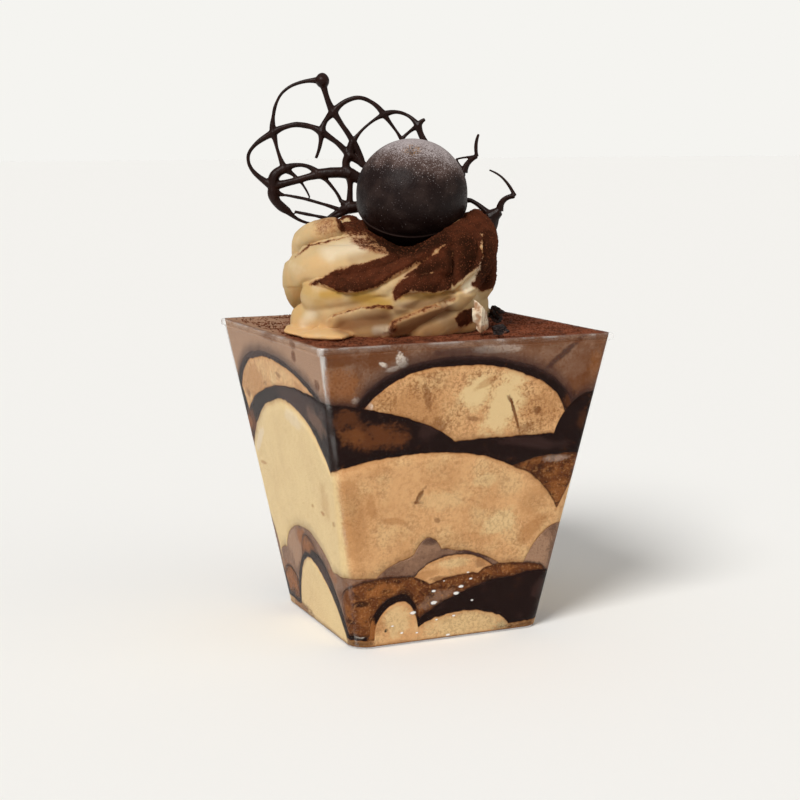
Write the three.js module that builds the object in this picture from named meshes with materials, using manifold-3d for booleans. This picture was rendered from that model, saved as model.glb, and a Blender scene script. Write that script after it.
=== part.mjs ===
// A layered tiramisu in a clear square cup, topped with a piped swirl of cream,
// a chocolate truffle and a piped chocolate lattice.
// Millimetres, +Z up. The origin is the centre of the cup's underside.
// -Y is the wide face that is seen best, -X the narrow one, so the corner (-X, -Y) is the nearest.
import * as THREE from 'three';
import { mergeVertices } from 'three/addons/utils/BufferGeometryUtils.js';
import Module from 'manifold-3d';

const wasm = await Module();
wasm.setup();

// Driving dimensions
const GAP = 0.3; // between pieces that touch
const SMALLEST_FEATURE = 0.02; // what a cut leaves below this is merged away
const ROD_TIP = 0.6; // how far a rod's point reaches beyond its path, in half-widths
const CUP = {
  height: 64, baseHalf: 21.6, rimHalf: 32.5, lipReach: 0.5, lipHeight: 1.5,
  wall: 1, floor: 1.2, baseCorner: 4.2, rimCorner: 1.4, edge: 0.3, footChamfer: 0.7,
};
const FILL_LEVEL = 64; // the contents are flush with the rim
const FACE_STEPS = 12; // straight steps along one face of the filling
const CORNER_STEPS = 4; // steps round one of its corners
const SWIRL = {
  base: FILL_LEVEL + 0.6, radius: 22.8, across: -5, behind: -2.8, shoulder: 9, top: 90.9, dip: 8,
  lobeDepth: 3.5, coreInset: 2.9, coreSunk: 0.6, coreTop: 82, crestShare: 0.6, noseShare: 0.13,
};
const APRON = { across: -20.5, behind: -11, size: [7.6, 10, 1.7] };
const BALL = {
  radius: 12, flattening: 0.97, height: 92, across: 0.9, behind: -1.8, tiltDeg: 43, seam: 0.08, dimple: 0.5,
};
const LATTICE_BEHIND = 13.5; // distance of the lattice behind the cup's axis

// The top pieces are placed in the nearest corner's view: `across` runs to the viewer's right,
// `behind` away from the viewer, and an azimuth of 0 faces the viewer and grows to the right.
const VIEW_TURN = THREE.MathUtils.degToRad(23);
const acrossAxis = new THREE.Vector3(Math.cos(VIEW_TURN), -Math.sin(VIEW_TURN), 0);
const behindAxis = new THREE.Vector3(Math.sin(VIEW_TURN), Math.cos(VIEW_TURN), 0);

function seen(across, behind, height) {
  return new THREE.Vector3(0, 0, height)
    .addScaledVector(acrossAxis, across)
    .addScaledVector(behindAxis, behind);
}

// Closed skins and solids

// A closed skin over a stack of rings, each counterclockwise seen from the end pole.
function skin(startPole, rings, endPole) {
  const count = rings[0].length;
  const points = [startPole, ...rings.flat(), endPole];
  const faces = [];
  const at = (ring, step) => 1 + ring * count + (step % count);
  const last = points.length - 1;
  for (let step = 0; step < count; step++) {
    faces.push(0, at(0, step + 1), at(0, step));
    for (let ring = 0; ring + 1 < rings.length; ring++) {
      faces.push(at(ring, step), at(ring, step + 1), at(ring + 1, step + 1));
      faces.push(at(ring, step), at(ring + 1, step + 1), at(ring + 1, step));
    }
    faces.push(last, at(rings.length - 1, step), at(rings.length - 1, step + 1));
  }
  const geometry = new THREE.BufferGeometry().setFromPoints(points);
  geometry.setIndex(faces);
  return geometry;
}

function solidOf(geometry) {
  const bare = geometry.clone();
  bare.deleteAttribute('normal');
  bare.deleteAttribute('uv');
  const merged = mergeVertices(bare, 1e-4);
  return new wasm.Manifold(new wasm.Mesh({
    numProp: 3,
    vertProperties: new Float32Array(merged.attributes.position.array),
    triVerts: new Uint32Array(merged.index.array),
  }));
}

function geometryOf(solid) {
  const mesh = solid.getMesh();
  const geometry = new THREE.BufferGeometry();
  geometry.setAttribute('position', new THREE.BufferAttribute(new Float32Array(mesh.vertProperties), 3));
  geometry.setIndex(Array.from(mesh.triVerts));
  return geometry;
}

// A cut may leave loose scraps beside the piece itself, and needle faces on it.
function largestBody(solid) {
  const clean = solid.asOriginal().simplify(SMALLEST_FEATURE);
  return clean.decompose().reduce((best, body) => (body.volume() > best.volume() ? body : best));
}

function union(solids) {
  return solids.reduce((whole, solid) => whole.add(solid));
}

// A rod along a path, with pointed ends. Its section is `half[i]` wide across the path and the
// axis that `axisAt` gives, and `depth` times as deep along that axis.
function rod(path, half, axisAt, sides, depth = 1) {
  const rings = path.map((centre, i) => {
    const ahead = path[Math.min(i + 1, path.length - 1)];
    const back = path[Math.max(i - 1, 0)];
    const along = ahead.clone().sub(back).normalize();
    const wide = axisAt(centre).cross(along).normalize();
    const deep = along.clone().cross(wide);
    return Array.from({ length: sides }, (_, k) => {
      const angle = (2 * Math.PI * k) / sides;
      return centre.clone()
        .addScaledVector(wide, half[i] * Math.cos(angle))
        .addScaledVector(deep, half[i] * depth * Math.sin(angle));
    });
  });
  const tip = (end, before) => {
    const outward = path[end].clone().sub(path[before]).normalize();
    return path[end].clone().addScaledVector(outward, half[end] * ROD_TIP);
  };
  return solidOf(skin(tip(0, 1), rings, tip(path.length - 1, path.length - 2)));
}

// The cup

function outerHalf(height) {
  const straightHalf = CUP.rimHalf - CUP.lipReach;
  return THREE.MathUtils.lerp(CUP.baseHalf, straightHalf, height / CUP.height);
}

// A point on a square with rounded corners. `place` counts faces from the left one (-X) round
// by the front one (-Y), so 1.5 is the middle of the front face and 1 the nearest corner.
function squarePoint(place, half, corner) {
  const face = Math.floor(place);
  const side = 2 * (place - face) - 1;
  const straight = half - corner;
  const reach = Math.abs(side) * half;
  let along = reach;
  let out = half;
  if (reach > straight) {
    const bend = (Math.PI / 4) * ((reach - straight) / corner);
    along = straight + corner * Math.sin(bend);
    out = straight + corner * Math.cos(bend);
  }
  return new THREE.Vector3(-out, -Math.sign(side) * along, 0)
    .applyAxisAngle(new THREE.Vector3(0, 0, 1), (face * Math.PI) / 2);
}

// The cup's corners sharpen towards the rim.
function outerCorner(height) {
  return THREE.MathUtils.lerp(CUP.baseCorner, CUP.rimCorner, height / CUP.height);
}

// Places round the square, closer together on the corners, where the steps turn.
function placesRound(faceSteps, cornerSteps) {
  const straight = (CUP.rimHalf - CUP.baseCorner) / CUP.rimHalf;
  const places = [];
  for (let face = 0; face < 4; face++) {
    for (let step = 0; step < faceSteps; step++) {
      places.push(face + 0.5 + straight * (step / faceSteps - 0.5));
    }
    for (let step = 0; step < cornerSteps; step++) {
      places.push(face + 0.5 + straight / 2 + (1 - straight) * (step / cornerSteps));
    }
  }
  return places.map((place) => place % 4);
}

function squareRing(places, half, corner, height) {
  return places.map((place) => squarePoint(place, half, corner).setZ(height));
}

function makeCup() {
  const places = placesRound(1, 6);
  const outer = (half, height) => squareRing(places, half, outerCorner(height), height);
  const inner = (height, inset = 0) => squareRing(
    places,
    outerHalf(height) - CUP.wall - inset,
    outerCorner(height) - CUP.wall,
    height,
  );
  const lipFoot = CUP.height - CUP.lipHeight;
  return skin(new THREE.Vector3(0, 0, 0), [
    outer(CUP.baseHalf - CUP.footChamfer, 0),
    outer(outerHalf(CUP.footChamfer), CUP.footChamfer),
    outer(outerHalf(lipFoot), lipFoot),
    outer(CUP.rimHalf - CUP.edge, lipFoot + CUP.edge),
    outer(CUP.rimHalf, lipFoot + 2 * CUP.edge),
    outer(CUP.rimHalf, CUP.height - CUP.edge),
    outer(CUP.rimHalf - CUP.edge, CUP.height),
    inner(CUP.height),
    inner(CUP.floor + CUP.edge),
    inner(CUP.floor, CUP.edge),
  ], new THREE.Vector3(0, 0, CUP.floor));
}

// The layers. Each is listed from the bottom with the height of its top: `level` where nothing
// rises above it, `centre` in the middle of the cup, and one dome for each dollop that shows at
// the wall: where it starts, peaks and ends round the cup, the heights of its foot and its peak,
// and how full it is (1 is a parabola, 0.5 an ellipse). The two hidden faces repeat the two that
// are seen, turned half round.
const dome = (from, peak, to, foot, top, fullness) => ({ from, peak, to, foot, top, fullness });

const LAYERS = [
  { node: 'cream_lower', colour: 0xddcca2, centre: 7, level: 1.9, domes: [
    dome(0.255, 0.54, 0.93, 0, 15.2, 0.95),
    dome(1.105, 1.25, 1.33, 2, 9.6, 0.5),
    dome(1.29, 1.54, 1.825, 0, 5.9, 0.45),
  ] },
  { node: 'chocolate_lower', colour: 0x241712, centre: 8.6, level: 2.6, domes: [
    dome(0.235, 0.53, 0.95, 1, 16.1, 0.95),
    dome(0.42, 0.6, 0.965, 0, 17.7, 0.9),
    dome(1.08, 1.25, 1.34, 2, 11.1, 0.5),
    dome(1.25, 1.95, 2.12, 0, 13.2, 0.6),
  ] },
  { node: 'sponge_lower', colour: 0x6b3d1f, centre: 13, level: 3, domes: [
    dome(0.06, 0.2, 0.34, 2, 9.9, 0.5),
    dome(0.42, 0.53, 0.7, 12, 20.6, 0.7),
    dome(0.9, 1.2, 1.42, 6, 15.4, 0.25),
    dome(1.3, 1.52, 1.8, 8, 14.2, 0.4),
    dome(1.6, 1.72, 1.97, 10, 15.6, 0.25),
  ] },
  { node: 'cream_pocket', colour: 0xd2a878, centre: 14.6, level: 4, domes: [
    dome(1.3, 1.5, 1.7, 14, 18.9, 0.7),
  ] },
  { node: 'mousse_lower', colour: 0x7d6152, centre: 18, level: 8.2, domes: [
    dome(0.1, 1.0, 1.92, 8, 15.4, 0.12),
    dome(0.22, 0.53, 0.84, 14.5, 21.8, 0.8),
    dome(1.13, 1.42, 1.72, 15.3, 20.3, 0.8),
    dome(1.27, 1.375, 1.47, 15.3, 23.1, 1),
    dome(1.82, 1.97, 2.1, 12, 23.5, 0.7),
  ] },
  { node: 'cream_middle', colour: 0xd8b27c, centre: 36, level: 24, domes: [
    dome(-0.08, 0.57, 1.08, 21, 49.9, 0.6),
    dome(0.6, 1.32, 1.975, 20, 41.4, 0.5),
  ] },
  { node: 'sponge_middle', colour: 0x7a4a22, centre: 38, level: 24, domes: [
    dome(1.62, 1.9, 2.2, 24, 38.9, 0.2),
  ] },
  { node: 'chocolate_middle', colour: 0x241712, centre: 42, level: 43.4, domes: [
    dome(0.05, 0.75, 1.48, 42, 53.6, 0.7),
    dome(1.86, 1.99, 2.08, 43, 52, 0.6),
  ] },
  { node: 'cream_upper', colour: 0xd8ab74, centre: 54, level: 44, domes: [
    dome(0.03, 0.42, 1.0, 45, 58.2, 0.5),
    dome(1.09, 1.45, 1.895, 45, 59.2, 0.5),
  ] },
  { node: 'chocolate_upper', colour: 0x2a1a14, centre: 56.5, level: 44.5, domes: [
    dome(0.0, 0.42, 1.03, 46, 59.1, 0.5),
    dome(1.065, 1.45, 1.92, 46, 60.8, 0.5),
  ] },
  { node: 'mousse_upper', colour: 0x94755f, centre: 62.7, level: 62.7, domes: [] },
  { node: 'cocoa_top', colour: 0x4a2114, centre: FILL_LEVEL, level: FILL_LEVEL, domes: [] },
];

function domeHeight({ from, peak, to, foot, top, fullness }, place) {
  const offset = place - peak;
  const reach = offset < 0 ? offset / (peak - from) : offset / (to - peak);
  return Math.abs(reach) < 1 ? foot + (top - foot) * (1 - reach * reach) ** fullness : -Infinity;
}

function edgeHeight(layer, place) {
  const repeated = place % 2;
  const turns = [repeated - 2, repeated, repeated + 2];
  const rises = layer.domes.flatMap((each) => turns.map((turn) => domeHeight(each, turn)));
  return Math.max(layer.level, ...rises);
}

// The top of the filling up to and with a layer. It never dips below the layers under it.
function topHeight(index, heightOf) {
  return Math.max(...LAYERS.slice(0, index + 1).map(heightOf));
}

// Everything in the cup below a layer's top, which runs straight from the wall to the middle.
// As a cutter it is raised by the gap and reaches on past the wall.
function fillingBelow(index, asCutter) {
  const corner = (height) => outerCorner(height) - CUP.wall - GAP;
  const half = (height) => outerHalf(height) - CUP.wall - GAP;
  const places = placesRound(FACE_STEPS, CORNER_STEPS);
  const bottom = asCutter ? 0 : CUP.floor + GAP;
  const beyond = asCutter ? 1.15 : 1;
  const lift = asCutter ? GAP : 0;
  const middle = new THREE.Vector3(0, 0, topHeight(index, (layer) => layer.centre));
  const topRing = places.map((place) => {
    const height = topHeight(index, (layer) => edgeHeight(layer, place));
    const edge = squarePoint(place, half(height), corner(height)).setZ(height);
    return middle.clone().lerp(edge, beyond).add(new THREE.Vector3(0, 0, lift));
  });
  return solidOf(skin(
    new THREE.Vector3(0, 0, bottom),
    [squareRing(places, half(bottom) * beyond, corner(bottom), bottom), topRing],
    middle.clone().setZ(middle.z + lift),
  ));
}

function makeLayer(index) {
  const below = fillingBelow(index, false);
  if (index === 0) {
    return geometryOf(below);
  }
  return geometryOf(largestBody(below.subtract(fillingBelow(index - 1, true))));
}

// The swirl of cream: a domed core wrapped in lobes, as an open star nozzle leaves them. Each
// lobe starts with a round nose at the base or at the waist and winds up to the right.
// `turn` is its azimuth at the crest share of the height, `climb` how far it turns over the
// whole height and `sweep` how far it turns in its nose, all in degrees.
const LOBES = [
  { turn: -112, start: 0.3, end: 0.93, half: 4.7, climb: 143, sweep: 0 },
  { turn: -58, start: 0.2, end: 0.93, half: 5.0, climb: 143, sweep: 0 },
  { turn: -12, start: 0.28, end: 0.93, half: 4.2, climb: 148, sweep: 0 },
  { turn: 15, start: 0.04, end: 0.9, half: 4.1, climb: 60, sweep: 86 },
  { turn: 36, start: 0.03, end: 0.9, half: 3.8, climb: 42, sweep: 60 },
  { turn: 60, start: 0.32, end: 0.93, half: 4.2, climb: 100, sweep: 0 },
  { turn: 97, start: 0.03, end: 0.93, half: 4.0, climb: 60, sweep: 62 },
  { turn: 124, start: 0.03, end: 0.93, half: 3.9, climb: 60, sweep: 62 },
  { turn: 152, start: 0.04, end: 0.93, half: 4.0, climb: 60, sweep: 62 },
  { turn: 180, start: 0.04, end: 0.93, half: 4.0, climb: 60, sweep: 62 },
  { turn: 208, start: 0.04, end: 0.93, half: 4.0, climb: 60, sweep: 62 },
  { turn: 234, start: 0.04, end: 0.6, half: 3.8, climb: 60, sweep: 62 },
  { turn: 275, start: 0.04, end: 0.3, half: 3.6, climb: 60, sweep: 62 },
];

// The top of the swirl dips in front, where the truffle rests on it.
function swirlTop(azimuth) {
  const dip = SWIRL.dip * Math.max(Math.cos(azimuth), 0) ** 2.5;
  return SWIRL.top + 0.6 * Math.sin(azimuth) - dip;
}

// A point of the swirl's outer form, `inset` below its surface, at a share of its height. The
// swirl is drawn in at its foot and at its waist, and leans from its base towards its top.
function swirlPoint(azimuth, share, inset) {
  const full = Math.sqrt(Math.max(1 - share ** SWIRL.shoulder, 0));
  const foot = 1.5 * (1 - share) ** 4;
  const waist = (0.6 + 1.2 * Math.sin(azimuth) ** 2) * Math.exp(-(((share - 0.27) / 0.08) ** 2));
  const radius = (SWIRL.radius - inset - foot - waist) * full;
  const lean = SWIRL.across + 4.6 * share ** 2;
  const height = SWIRL.base + share * (swirlTop(azimuth) - inset - SWIRL.base);
  return seen(lean + radius * Math.sin(azimuth), SWIRL.behind - radius * Math.cos(azimuth), height);
}

function swirlCore() {
  const shares = [0, 0.07, 0.2, 0.27, 0.34, 0.48, 0.64, 0.78, 0.88, 0.95];
  const steps = 32;
  const ring = (share, sunk = 0) => Array.from({ length: steps }, (_, k) => {
    const point = swirlPoint((2 * Math.PI * k) / steps, share, SWIRL.coreInset);
    return point.setZ(point.z - sunk);
  });
  const rings = [ring(0, SWIRL.coreSunk), ...shares.slice(1).map((share) => ring(share))];
  const foot = seen(SWIRL.across, SWIRL.behind, SWIRL.base - SWIRL.coreSunk);
  return solidOf(skin(foot, rings, seen(0, SWIRL.behind, SWIRL.coreTop)));
}

// The azimuth of a lobe at a share of the height.
function lobeAzimuth({ turn, climb, sweep }, share) {
  const nose = sweep * Math.exp(-share / SWIRL.noseShare);
  return THREE.MathUtils.degToRad(turn + climb * (share - SWIRL.crestShare) - nose);
}

function swirlLobe(lobe) {
  const steps = 14;
  const sides = 7;
  const lingering = lobe.sweep > 0 ? 1.4 : 1; // a nose takes more of the steps
  const heart = seen(-3, SWIRL.behind, 74);
  const path = [];
  const halves = [];
  for (let step = 0; step <= steps; step++) {
    const along = step / steps;
    const share = THREE.MathUtils.lerp(lobe.start, lobe.end, along ** lingering);
    const swell = Math.sqrt(Math.min(1, 0.12 + along * 7)) * (1 - 0.25 * along);
    path.push(swirlPoint(lobeAzimuth(lobe, share), share, SWIRL.lobeDepth));
    halves.push(lobe.half * swell);
  }
  return rod(path, halves, (point) => point.clone().sub(heart).normalize(), sides, 0.95);
}

// A low apron of cream that has spread from the swirl's foot to the left rim.
function creamApron() {
  const apron = new THREE.SphereGeometry(1, 20, 10);
  apron.scale(...APRON.size);
  apron.translate(...seen(APRON.across, APRON.behind, SWIRL.base));
  return solidOf(apron);
}

function makeSwirl(socket, latticeRoom) {
  const depth = 20;
  const under = new THREE.BoxGeometry(90, 90, depth);
  under.translate(0, 0, SWIRL.base - GAP - depth / 2);
  const whole = union([swirlCore(), ...LOBES.map(swirlLobe), creamApron()]);
  return geometryOf(largestBody(whole.subtract(solidOf(under)).subtract(socket).subtract(latticeRoom)));
}

// The truffle: a moulded shell with a raised seam round it and a small dimple where it was
// filled, leaning towards the viewer. With `extra` it is a plain larger ball.
function makeBall(extra) {
  const rows = 15;
  const seamRow = 6;
  const steps = 26;
  const tilt = THREE.MathUtils.degToRad(BALL.tiltDeg);
  const centre = seen(BALL.across, BALL.behind, BALL.height);
  const full = BALL.radius + extra;
  const relief = extra > 0 ? 0 : 1;
  const place = (latitude, longitude, radius) => new THREE.Vector3(
    radius * Math.cos(latitude) * Math.cos(longitude),
    radius * Math.cos(latitude) * Math.sin(longitude),
    radius * Math.sin(latitude) * BALL.flattening,
  ).applyAxisAngle(acrossAxis, tilt).add(centre);
  const rings = [];
  for (let row = 1; row < rows; row++) {
    const latitude = Math.PI * (row / rows - 0.5);
    const radius = full + (row === seamRow ? relief * BALL.seam : 0);
    rings.push(Array.from({ length: steps }, (_, k) => place(latitude, (2 * Math.PI * k) / steps, radius)));
  }
  const pole = place(Math.PI / 2, 0, full - relief * BALL.dimple);
  return skin(place(-Math.PI / 2, 0, full), rings, pole);
}

// The lattice: chocolate piped as a fan of loops, standing on edge behind the truffle.
// Junctions are [across, height, width of the web there]. The hub and the foot are hidden by
// the truffle.
const JUNCTIONS = {
  hub: [0, 90.5, 3.0], foot: [0.5, 83.5, 3.8], knob: [-18.4, 116.4, 2.4], stalk: [-16.1, 109.6, 2.2],
  crotch: [-11.9, 103.2, 1.6], leftTop: [-29.4, 105.2, 1.9], arch: [-18.7, 105.3, 2.2],
  twig: [-20.1, 99.6, 0.6], knot: [-12.6, 100.1, 2.4], leftMid: [-27.0, 97.3, 2.0],
  leftLow: [-29.7, 93.6, 2.6], band: [-19.5, 96.2, 2.3], bandEnd: [-12.6, 96.2, 2.7],
  shoulder: [-9.8, 98.3, 1.6], rightTop: [-5.0, 109.0, 1.6], crook: [-1.1, 103.5, 0.9],
  rightBlob: [2.5, 106.5, 1.8], spike: [4.0, 107.9, 0.4], rightDip: [4.4, 102.4, 1.3],
  lowEnd: [-20.6, 85.2, 0.5], lowBend: [-26.6, 88.1, 1.6], dropA: [-21.6, 91.0, 0.4],
  dropB: [-14.6, 89.9, 0.8], ribStart: [-27.3, 91.6, 0.6], ribEnd: [-14.6, 88.1, 1.4],
  freeEnd: [-25.0, 87.9, 0.75], freeFoot: [-17.6, 86.3, 0.9], lump: [-12.8, 88.7, 2.8],
  hornTip: [15.6, 104.6, 0.5], horn: [15.2, 99.8, 1.0], hornFoot: [12.4, 96.4, 1.8],
  filmCorner: [10.7, 99.3, 0.45], tailTip: [17.9, 96.9, 0.35], tailBend: [23.2, 91.3, 1.1],
  tailLow: [20.0, 88.0, 1.8], tailBlob: [18.2, 86.6, 3.6], tailFoot: [17.6, 84.6, 4.0],
  tailLink: [13.8, 90.4, 1.0],
};

// Each strand runs between two junctions, bowed sideways by `bow` (positive to its left), and
// has its own width between the webs.
const STRANDS = [
  ['knob', 'leftTop', -4.5, 0.7], ['knob', 'stalk', -0.3, 1.05], ['stalk', 'crotch', 0.1, 1.05],
  ['crotch', 'knot', -0.2, 1.4], ['stalk', 'arch', -0.5, 0.7], ['leftTop', 'arch', 1.7, 1.1],
  ['arch', 'twig', 0.3, 0.7], ['arch', 'knot', 0.4, 1.05], ['leftTop', 'leftLow', -5.5, 0.75],
  ['leftTop', 'leftMid', -0.2, 0.7], ['leftMid', 'leftLow', -0.9, 2.3],
  ['leftLow', 'band', -0.2, 1.5], ['leftMid', 'band', 1.4, 0.8], ['band', 'bandEnd', 0.2, 2.3],
  ['bandEnd', 'hub', -0.3, 2.4], ['knot', 'bandEnd', -0.9, 0.8], ['crotch', 'shoulder', 0.3, 1.1],
  ['knot', 'shoulder', 0.1, 0.8], ['shoulder', 'hub', 0.2, 1.8], ['stalk', 'rightTop', 3.4, 0.9],
  ['crotch', 'rightTop', 0.6, 0.6], ['rightTop', 'rightBlob', 1.6, 0.7],
  ['rightTop', 'crook', 0.1, 0.65], ['crook', 'rightBlob', 0.2, 0.5],
  ['rightBlob', 'spike', 0.2, 0.5], ['rightBlob', 'rightDip', -0.2, 1.2], ['crook', 'hub', 0, 1.0],
  ['rightDip', 'hub', 0, 1.4], ['leftLow', 'lowBend', -1.0, 2.3], ['lowBend', 'lowEnd', -0.6, 0.65],
  ['band', 'dropB', 0.6, 0.65], ['leftMid', 'dropA', 0.8, 0.6], ['bandEnd', 'lump', 0.1, 1.0],
  ['leftLow', 'ribStart', -0.4, 0.8], ['ribStart', 'ribEnd', 0.4, 0.75],
  ['freeEnd', 'freeFoot', 0.1, 0.75], ['freeFoot', 'ribEnd', 0.2, 0.8], ['dropB', 'lump', 0.1, 0.8],
  ['ribEnd', 'lump', 0.1, 1.6], ['lump', 'hub', 0, 2.4], ['lump', 'freeFoot', 0.4, 1.0],
  ['hub', 'foot', 0, 3.8], ['hornTip', 'horn', -0.4, 0.75], ['horn', 'hornFoot', -0.6, 1.2],
  ['hornFoot', 'hub', 0, 1.8], ['filmCorner', 'horn', 0.1, 0.45],
  ['filmCorner', 'hornFoot', -0.2, 0.8], ['tailTip', 'tailBend', 0.8, 0.55],
  ['tailBend', 'tailLow', -1.0, 1.3], ['tailLow', 'tailBlob', 0, 2.6],
  ['tailBlob', 'tailFoot', 0, 4.2], ['tailLink', 'tailBlob', 0.4, 0.8], ['hub', 'tailLink', 0, 1.4],
];
const STRAND_STEP = 3.4; // length of one straight piece of a strand
const WEB_REACH = 1.4; // distance over which a web narrows to the strand
const STRAND_SIDES = 5;
const KNOB_RADIUS = 1.6;

// The sheet that the lattice lies in: flat on the left, bending towards the viewer on the right.
function onSheet(across, height) {
  return seen(across, LATTICE_BEHIND - 0.35 * Math.max(across, 0), height);
}

function strand([from, to, bow, width], extra) {
  const [fromAcross, fromHeight, fromWeb] = JUNCTIONS[from];
  const [toAcross, toHeight, toWeb] = JUNCTIONS[to];
  const a = new THREE.Vector2(fromAcross, fromHeight);
  const b = new THREE.Vector2(toAcross, toHeight);
  const left = new THREE.Vector2(a.y - b.y, b.x - a.x).normalize();
  const reach = a.distanceTo(b);
  const steps = Math.max(2, Math.round((reach + 2 * Math.abs(bow)) / STRAND_STEP));
  const path = [];
  const halves = [];
  for (let step = 0; step <= steps; step++) {
    const along = step / steps;
    const spot = a.clone().lerp(b, along).addScaledVector(left, 4 * bow * along * (1 - along));
    const nearStart = Math.exp((-along * reach) / WEB_REACH);
    const nearEnd = Math.exp(((along - 1) * reach) / WEB_REACH);
    path.push(onSheet(spot.x, spot.y));
    halves.push((width + (fromWeb - width) * nearStart + (toWeb - width) * nearEnd) / 2 + extra);
  }
  return rod(path, halves, () => behindAxis.clone(), STRAND_SIDES);
}

function makeLattice(extra) {
  const knob = new THREE.IcosahedronGeometry(KNOB_RADIUS + extra, 1);
  const [across, height] = JUNCTIONS.knob;
  const spot = onSheet(across, height);
  knob.translate(spot.x, spot.y, spot.z);
  return largestBody(union([solidOf(knob), ...STRANDS.map((each) => strand(each, extra))]));
}

// Broken bits beside the swirl, each a lump with a crinkled surface. `lean` turns it about the
// behind axis and `back` tips it away from the viewer, in radians.
const CREAM_SHARD = { at: [14.4, -22.6, 68.2], size: [2.0, 1.4, 4.7], lean: 0.12, back: 0.6 };
const REAR_CHIP = { at: [18.9, -4.5, 66.6], size: [2.1, 2.3, 2.2], lean: 0.3, back: 0 };
const FRONT_CHIP = { at: [18.2, -24.2, 65.6], size: [1.9, 1.8, 1.2], lean: -0.2, back: 0 };
const CRINKLE = 0.3;

function makeBit({ at, size, lean, back }) {
  const ball = new THREE.IcosahedronGeometry(1, 2).deleteAttribute('normal').deleteAttribute('uv');
  const geometry = mergeVertices(ball, 1e-3);
  const points = geometry.attributes.position;
  const centre = seen(...at);
  for (let i = 0; i < points.count; i++) {
    const point = new THREE.Vector3().fromBufferAttribute(points, i);
    const folds = Math.sin(5 * point.x + 3 * point.z) * Math.sin(4 * point.y - 5 * point.z + 1);
    point.multiplyScalar(1 - CRINKLE * 0.5 * (1 + folds)).multiply(new THREE.Vector3(...size));
    point.applyAxisAngle(behindAxis, lean).applyAxisAngle(acrossAxis, -back).add(centre);
    points.setXYZ(i, point.x, point.y, point.z);
  }
  return geometry;
}

// Materials and assembly

function material(colour, roughness) {
  return new THREE.MeshStandardMaterial({ color: colour, roughness, metalness: 0 });
}

const part = new THREE.Group();

function addMesh(node, geometry, finish) {
  const mesh = new THREE.Mesh(geometry, finish);
  mesh.name = node;
  part.add(mesh);
}

const clear = material(0xf2f2ee, 0.08);
clear.transparent = true;
clear.opacity = 0.3;
addMesh('cup', makeCup(), clear);
LAYERS.forEach((layer, index) => addMesh(layer.node, makeLayer(index), material(layer.colour, 0.6)));
addMesh('cream_swirl', makeSwirl(solidOf(makeBall(GAP)), makeLattice(GAP)), material(0xe6cfa2, 0.5));
addMesh('truffle', makeBall(0), material(0x2a1c19, 0.35));
addMesh('lattice', geometryOf(makeLattice(0)), material(0x1f1210, 0.3));
addMesh('cream_shard', makeBit(CREAM_SHARD), material(0xe9dcc4, 0.6));
addMesh('chocolate_chip_rear', makeBit(REAR_CHIP), material(0x1d1413, 0.6));
addMesh('chocolate_chip_front', makeBit(FRONT_CHIP), material(0x1d1413, 0.6));

export default part;
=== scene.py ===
# Looks for a layered tiramisu in a clear square cup, with a piped swirl of cream, a truffle and
# a piped chocolate lattice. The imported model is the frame: metres, +Z up, -Y the wide front face
# and -X the narrow one to its left. Shapes are worked out in millimetres.
import math

import bpy
import numpy as np
from mathutils import Matrix, Vector


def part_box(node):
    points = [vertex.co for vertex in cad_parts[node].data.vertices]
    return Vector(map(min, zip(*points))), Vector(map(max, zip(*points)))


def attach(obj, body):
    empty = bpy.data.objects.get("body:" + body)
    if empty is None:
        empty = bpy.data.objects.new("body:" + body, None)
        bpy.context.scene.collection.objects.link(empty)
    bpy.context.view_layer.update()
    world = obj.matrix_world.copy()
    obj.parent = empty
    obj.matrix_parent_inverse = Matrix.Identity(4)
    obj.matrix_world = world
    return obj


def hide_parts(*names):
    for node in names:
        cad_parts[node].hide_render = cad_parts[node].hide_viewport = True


bl_info = {
    "name": "Layered Tiramisu in a Cup",
    "version": (1, 0, 0),
    "blender": (4, 5, 0),
    "location": "3D View > Sidebar > Tiramisu",
    "description": "Dresses a layered tiramisu: its cup, layers, cream swirl, truffle, lattice and cocoa",
    "category": "Add Mesh",
}

MM = 0.001
SEED = 7
BODY = "root"

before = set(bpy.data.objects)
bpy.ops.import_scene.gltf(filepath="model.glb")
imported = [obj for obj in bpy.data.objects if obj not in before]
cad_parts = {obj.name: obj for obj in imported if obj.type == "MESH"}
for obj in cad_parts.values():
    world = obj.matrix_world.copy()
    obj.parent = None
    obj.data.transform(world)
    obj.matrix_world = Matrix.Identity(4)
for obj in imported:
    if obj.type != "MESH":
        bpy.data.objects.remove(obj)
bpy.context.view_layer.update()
CUP_HIGH = 1000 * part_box("cup")[1]
TRUFFLE_LOW, TRUFFLE_HIGH = (np.array(1000 * corner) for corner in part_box("truffle"))
TRUFFLE_MIDDLE = (TRUFFLE_LOW + TRUFFLE_HIGH) / 2
TRUFFLE_RADIUS = (TRUFFLE_HIGH[0] - TRUFFLE_LOW[0]) / 2

# The top pieces are placed in the nearest corner's view: `across` runs to the viewer's right and
# `behind` away from the viewer. An azimuth of 0 faces the viewer and grows to the right.
VIEW_TURN = math.radians(23)
ACROSS = np.array([math.cos(VIEW_TURN), -math.sin(VIEW_TURN), 0.0])
BEHIND = np.array([math.sin(VIEW_TURN), math.cos(VIEW_TURN), 0.0])
EYE_DISTANCE = 346.0
EYE_HEIGHT = 101.1

# The cup, read from the frame and from the real cup's walls
CUP_HEIGHT = CUP_HIGH.z
CUP_WALL = 1.0
RIM_HALF = CUP_HIGH.x
BASE_HALF = 21.6
LIP_REACH = 0.5
LIP_HEIGHT = 1.5
LIP_ROUND = 0.35
FOOT_ROUND = 0.7
BASE_CORNER = 4.2
RIM_CORNER = 1.4
FILL_LEVEL = CUP_HEIGHT


# Settings shown in the sidebar

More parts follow.
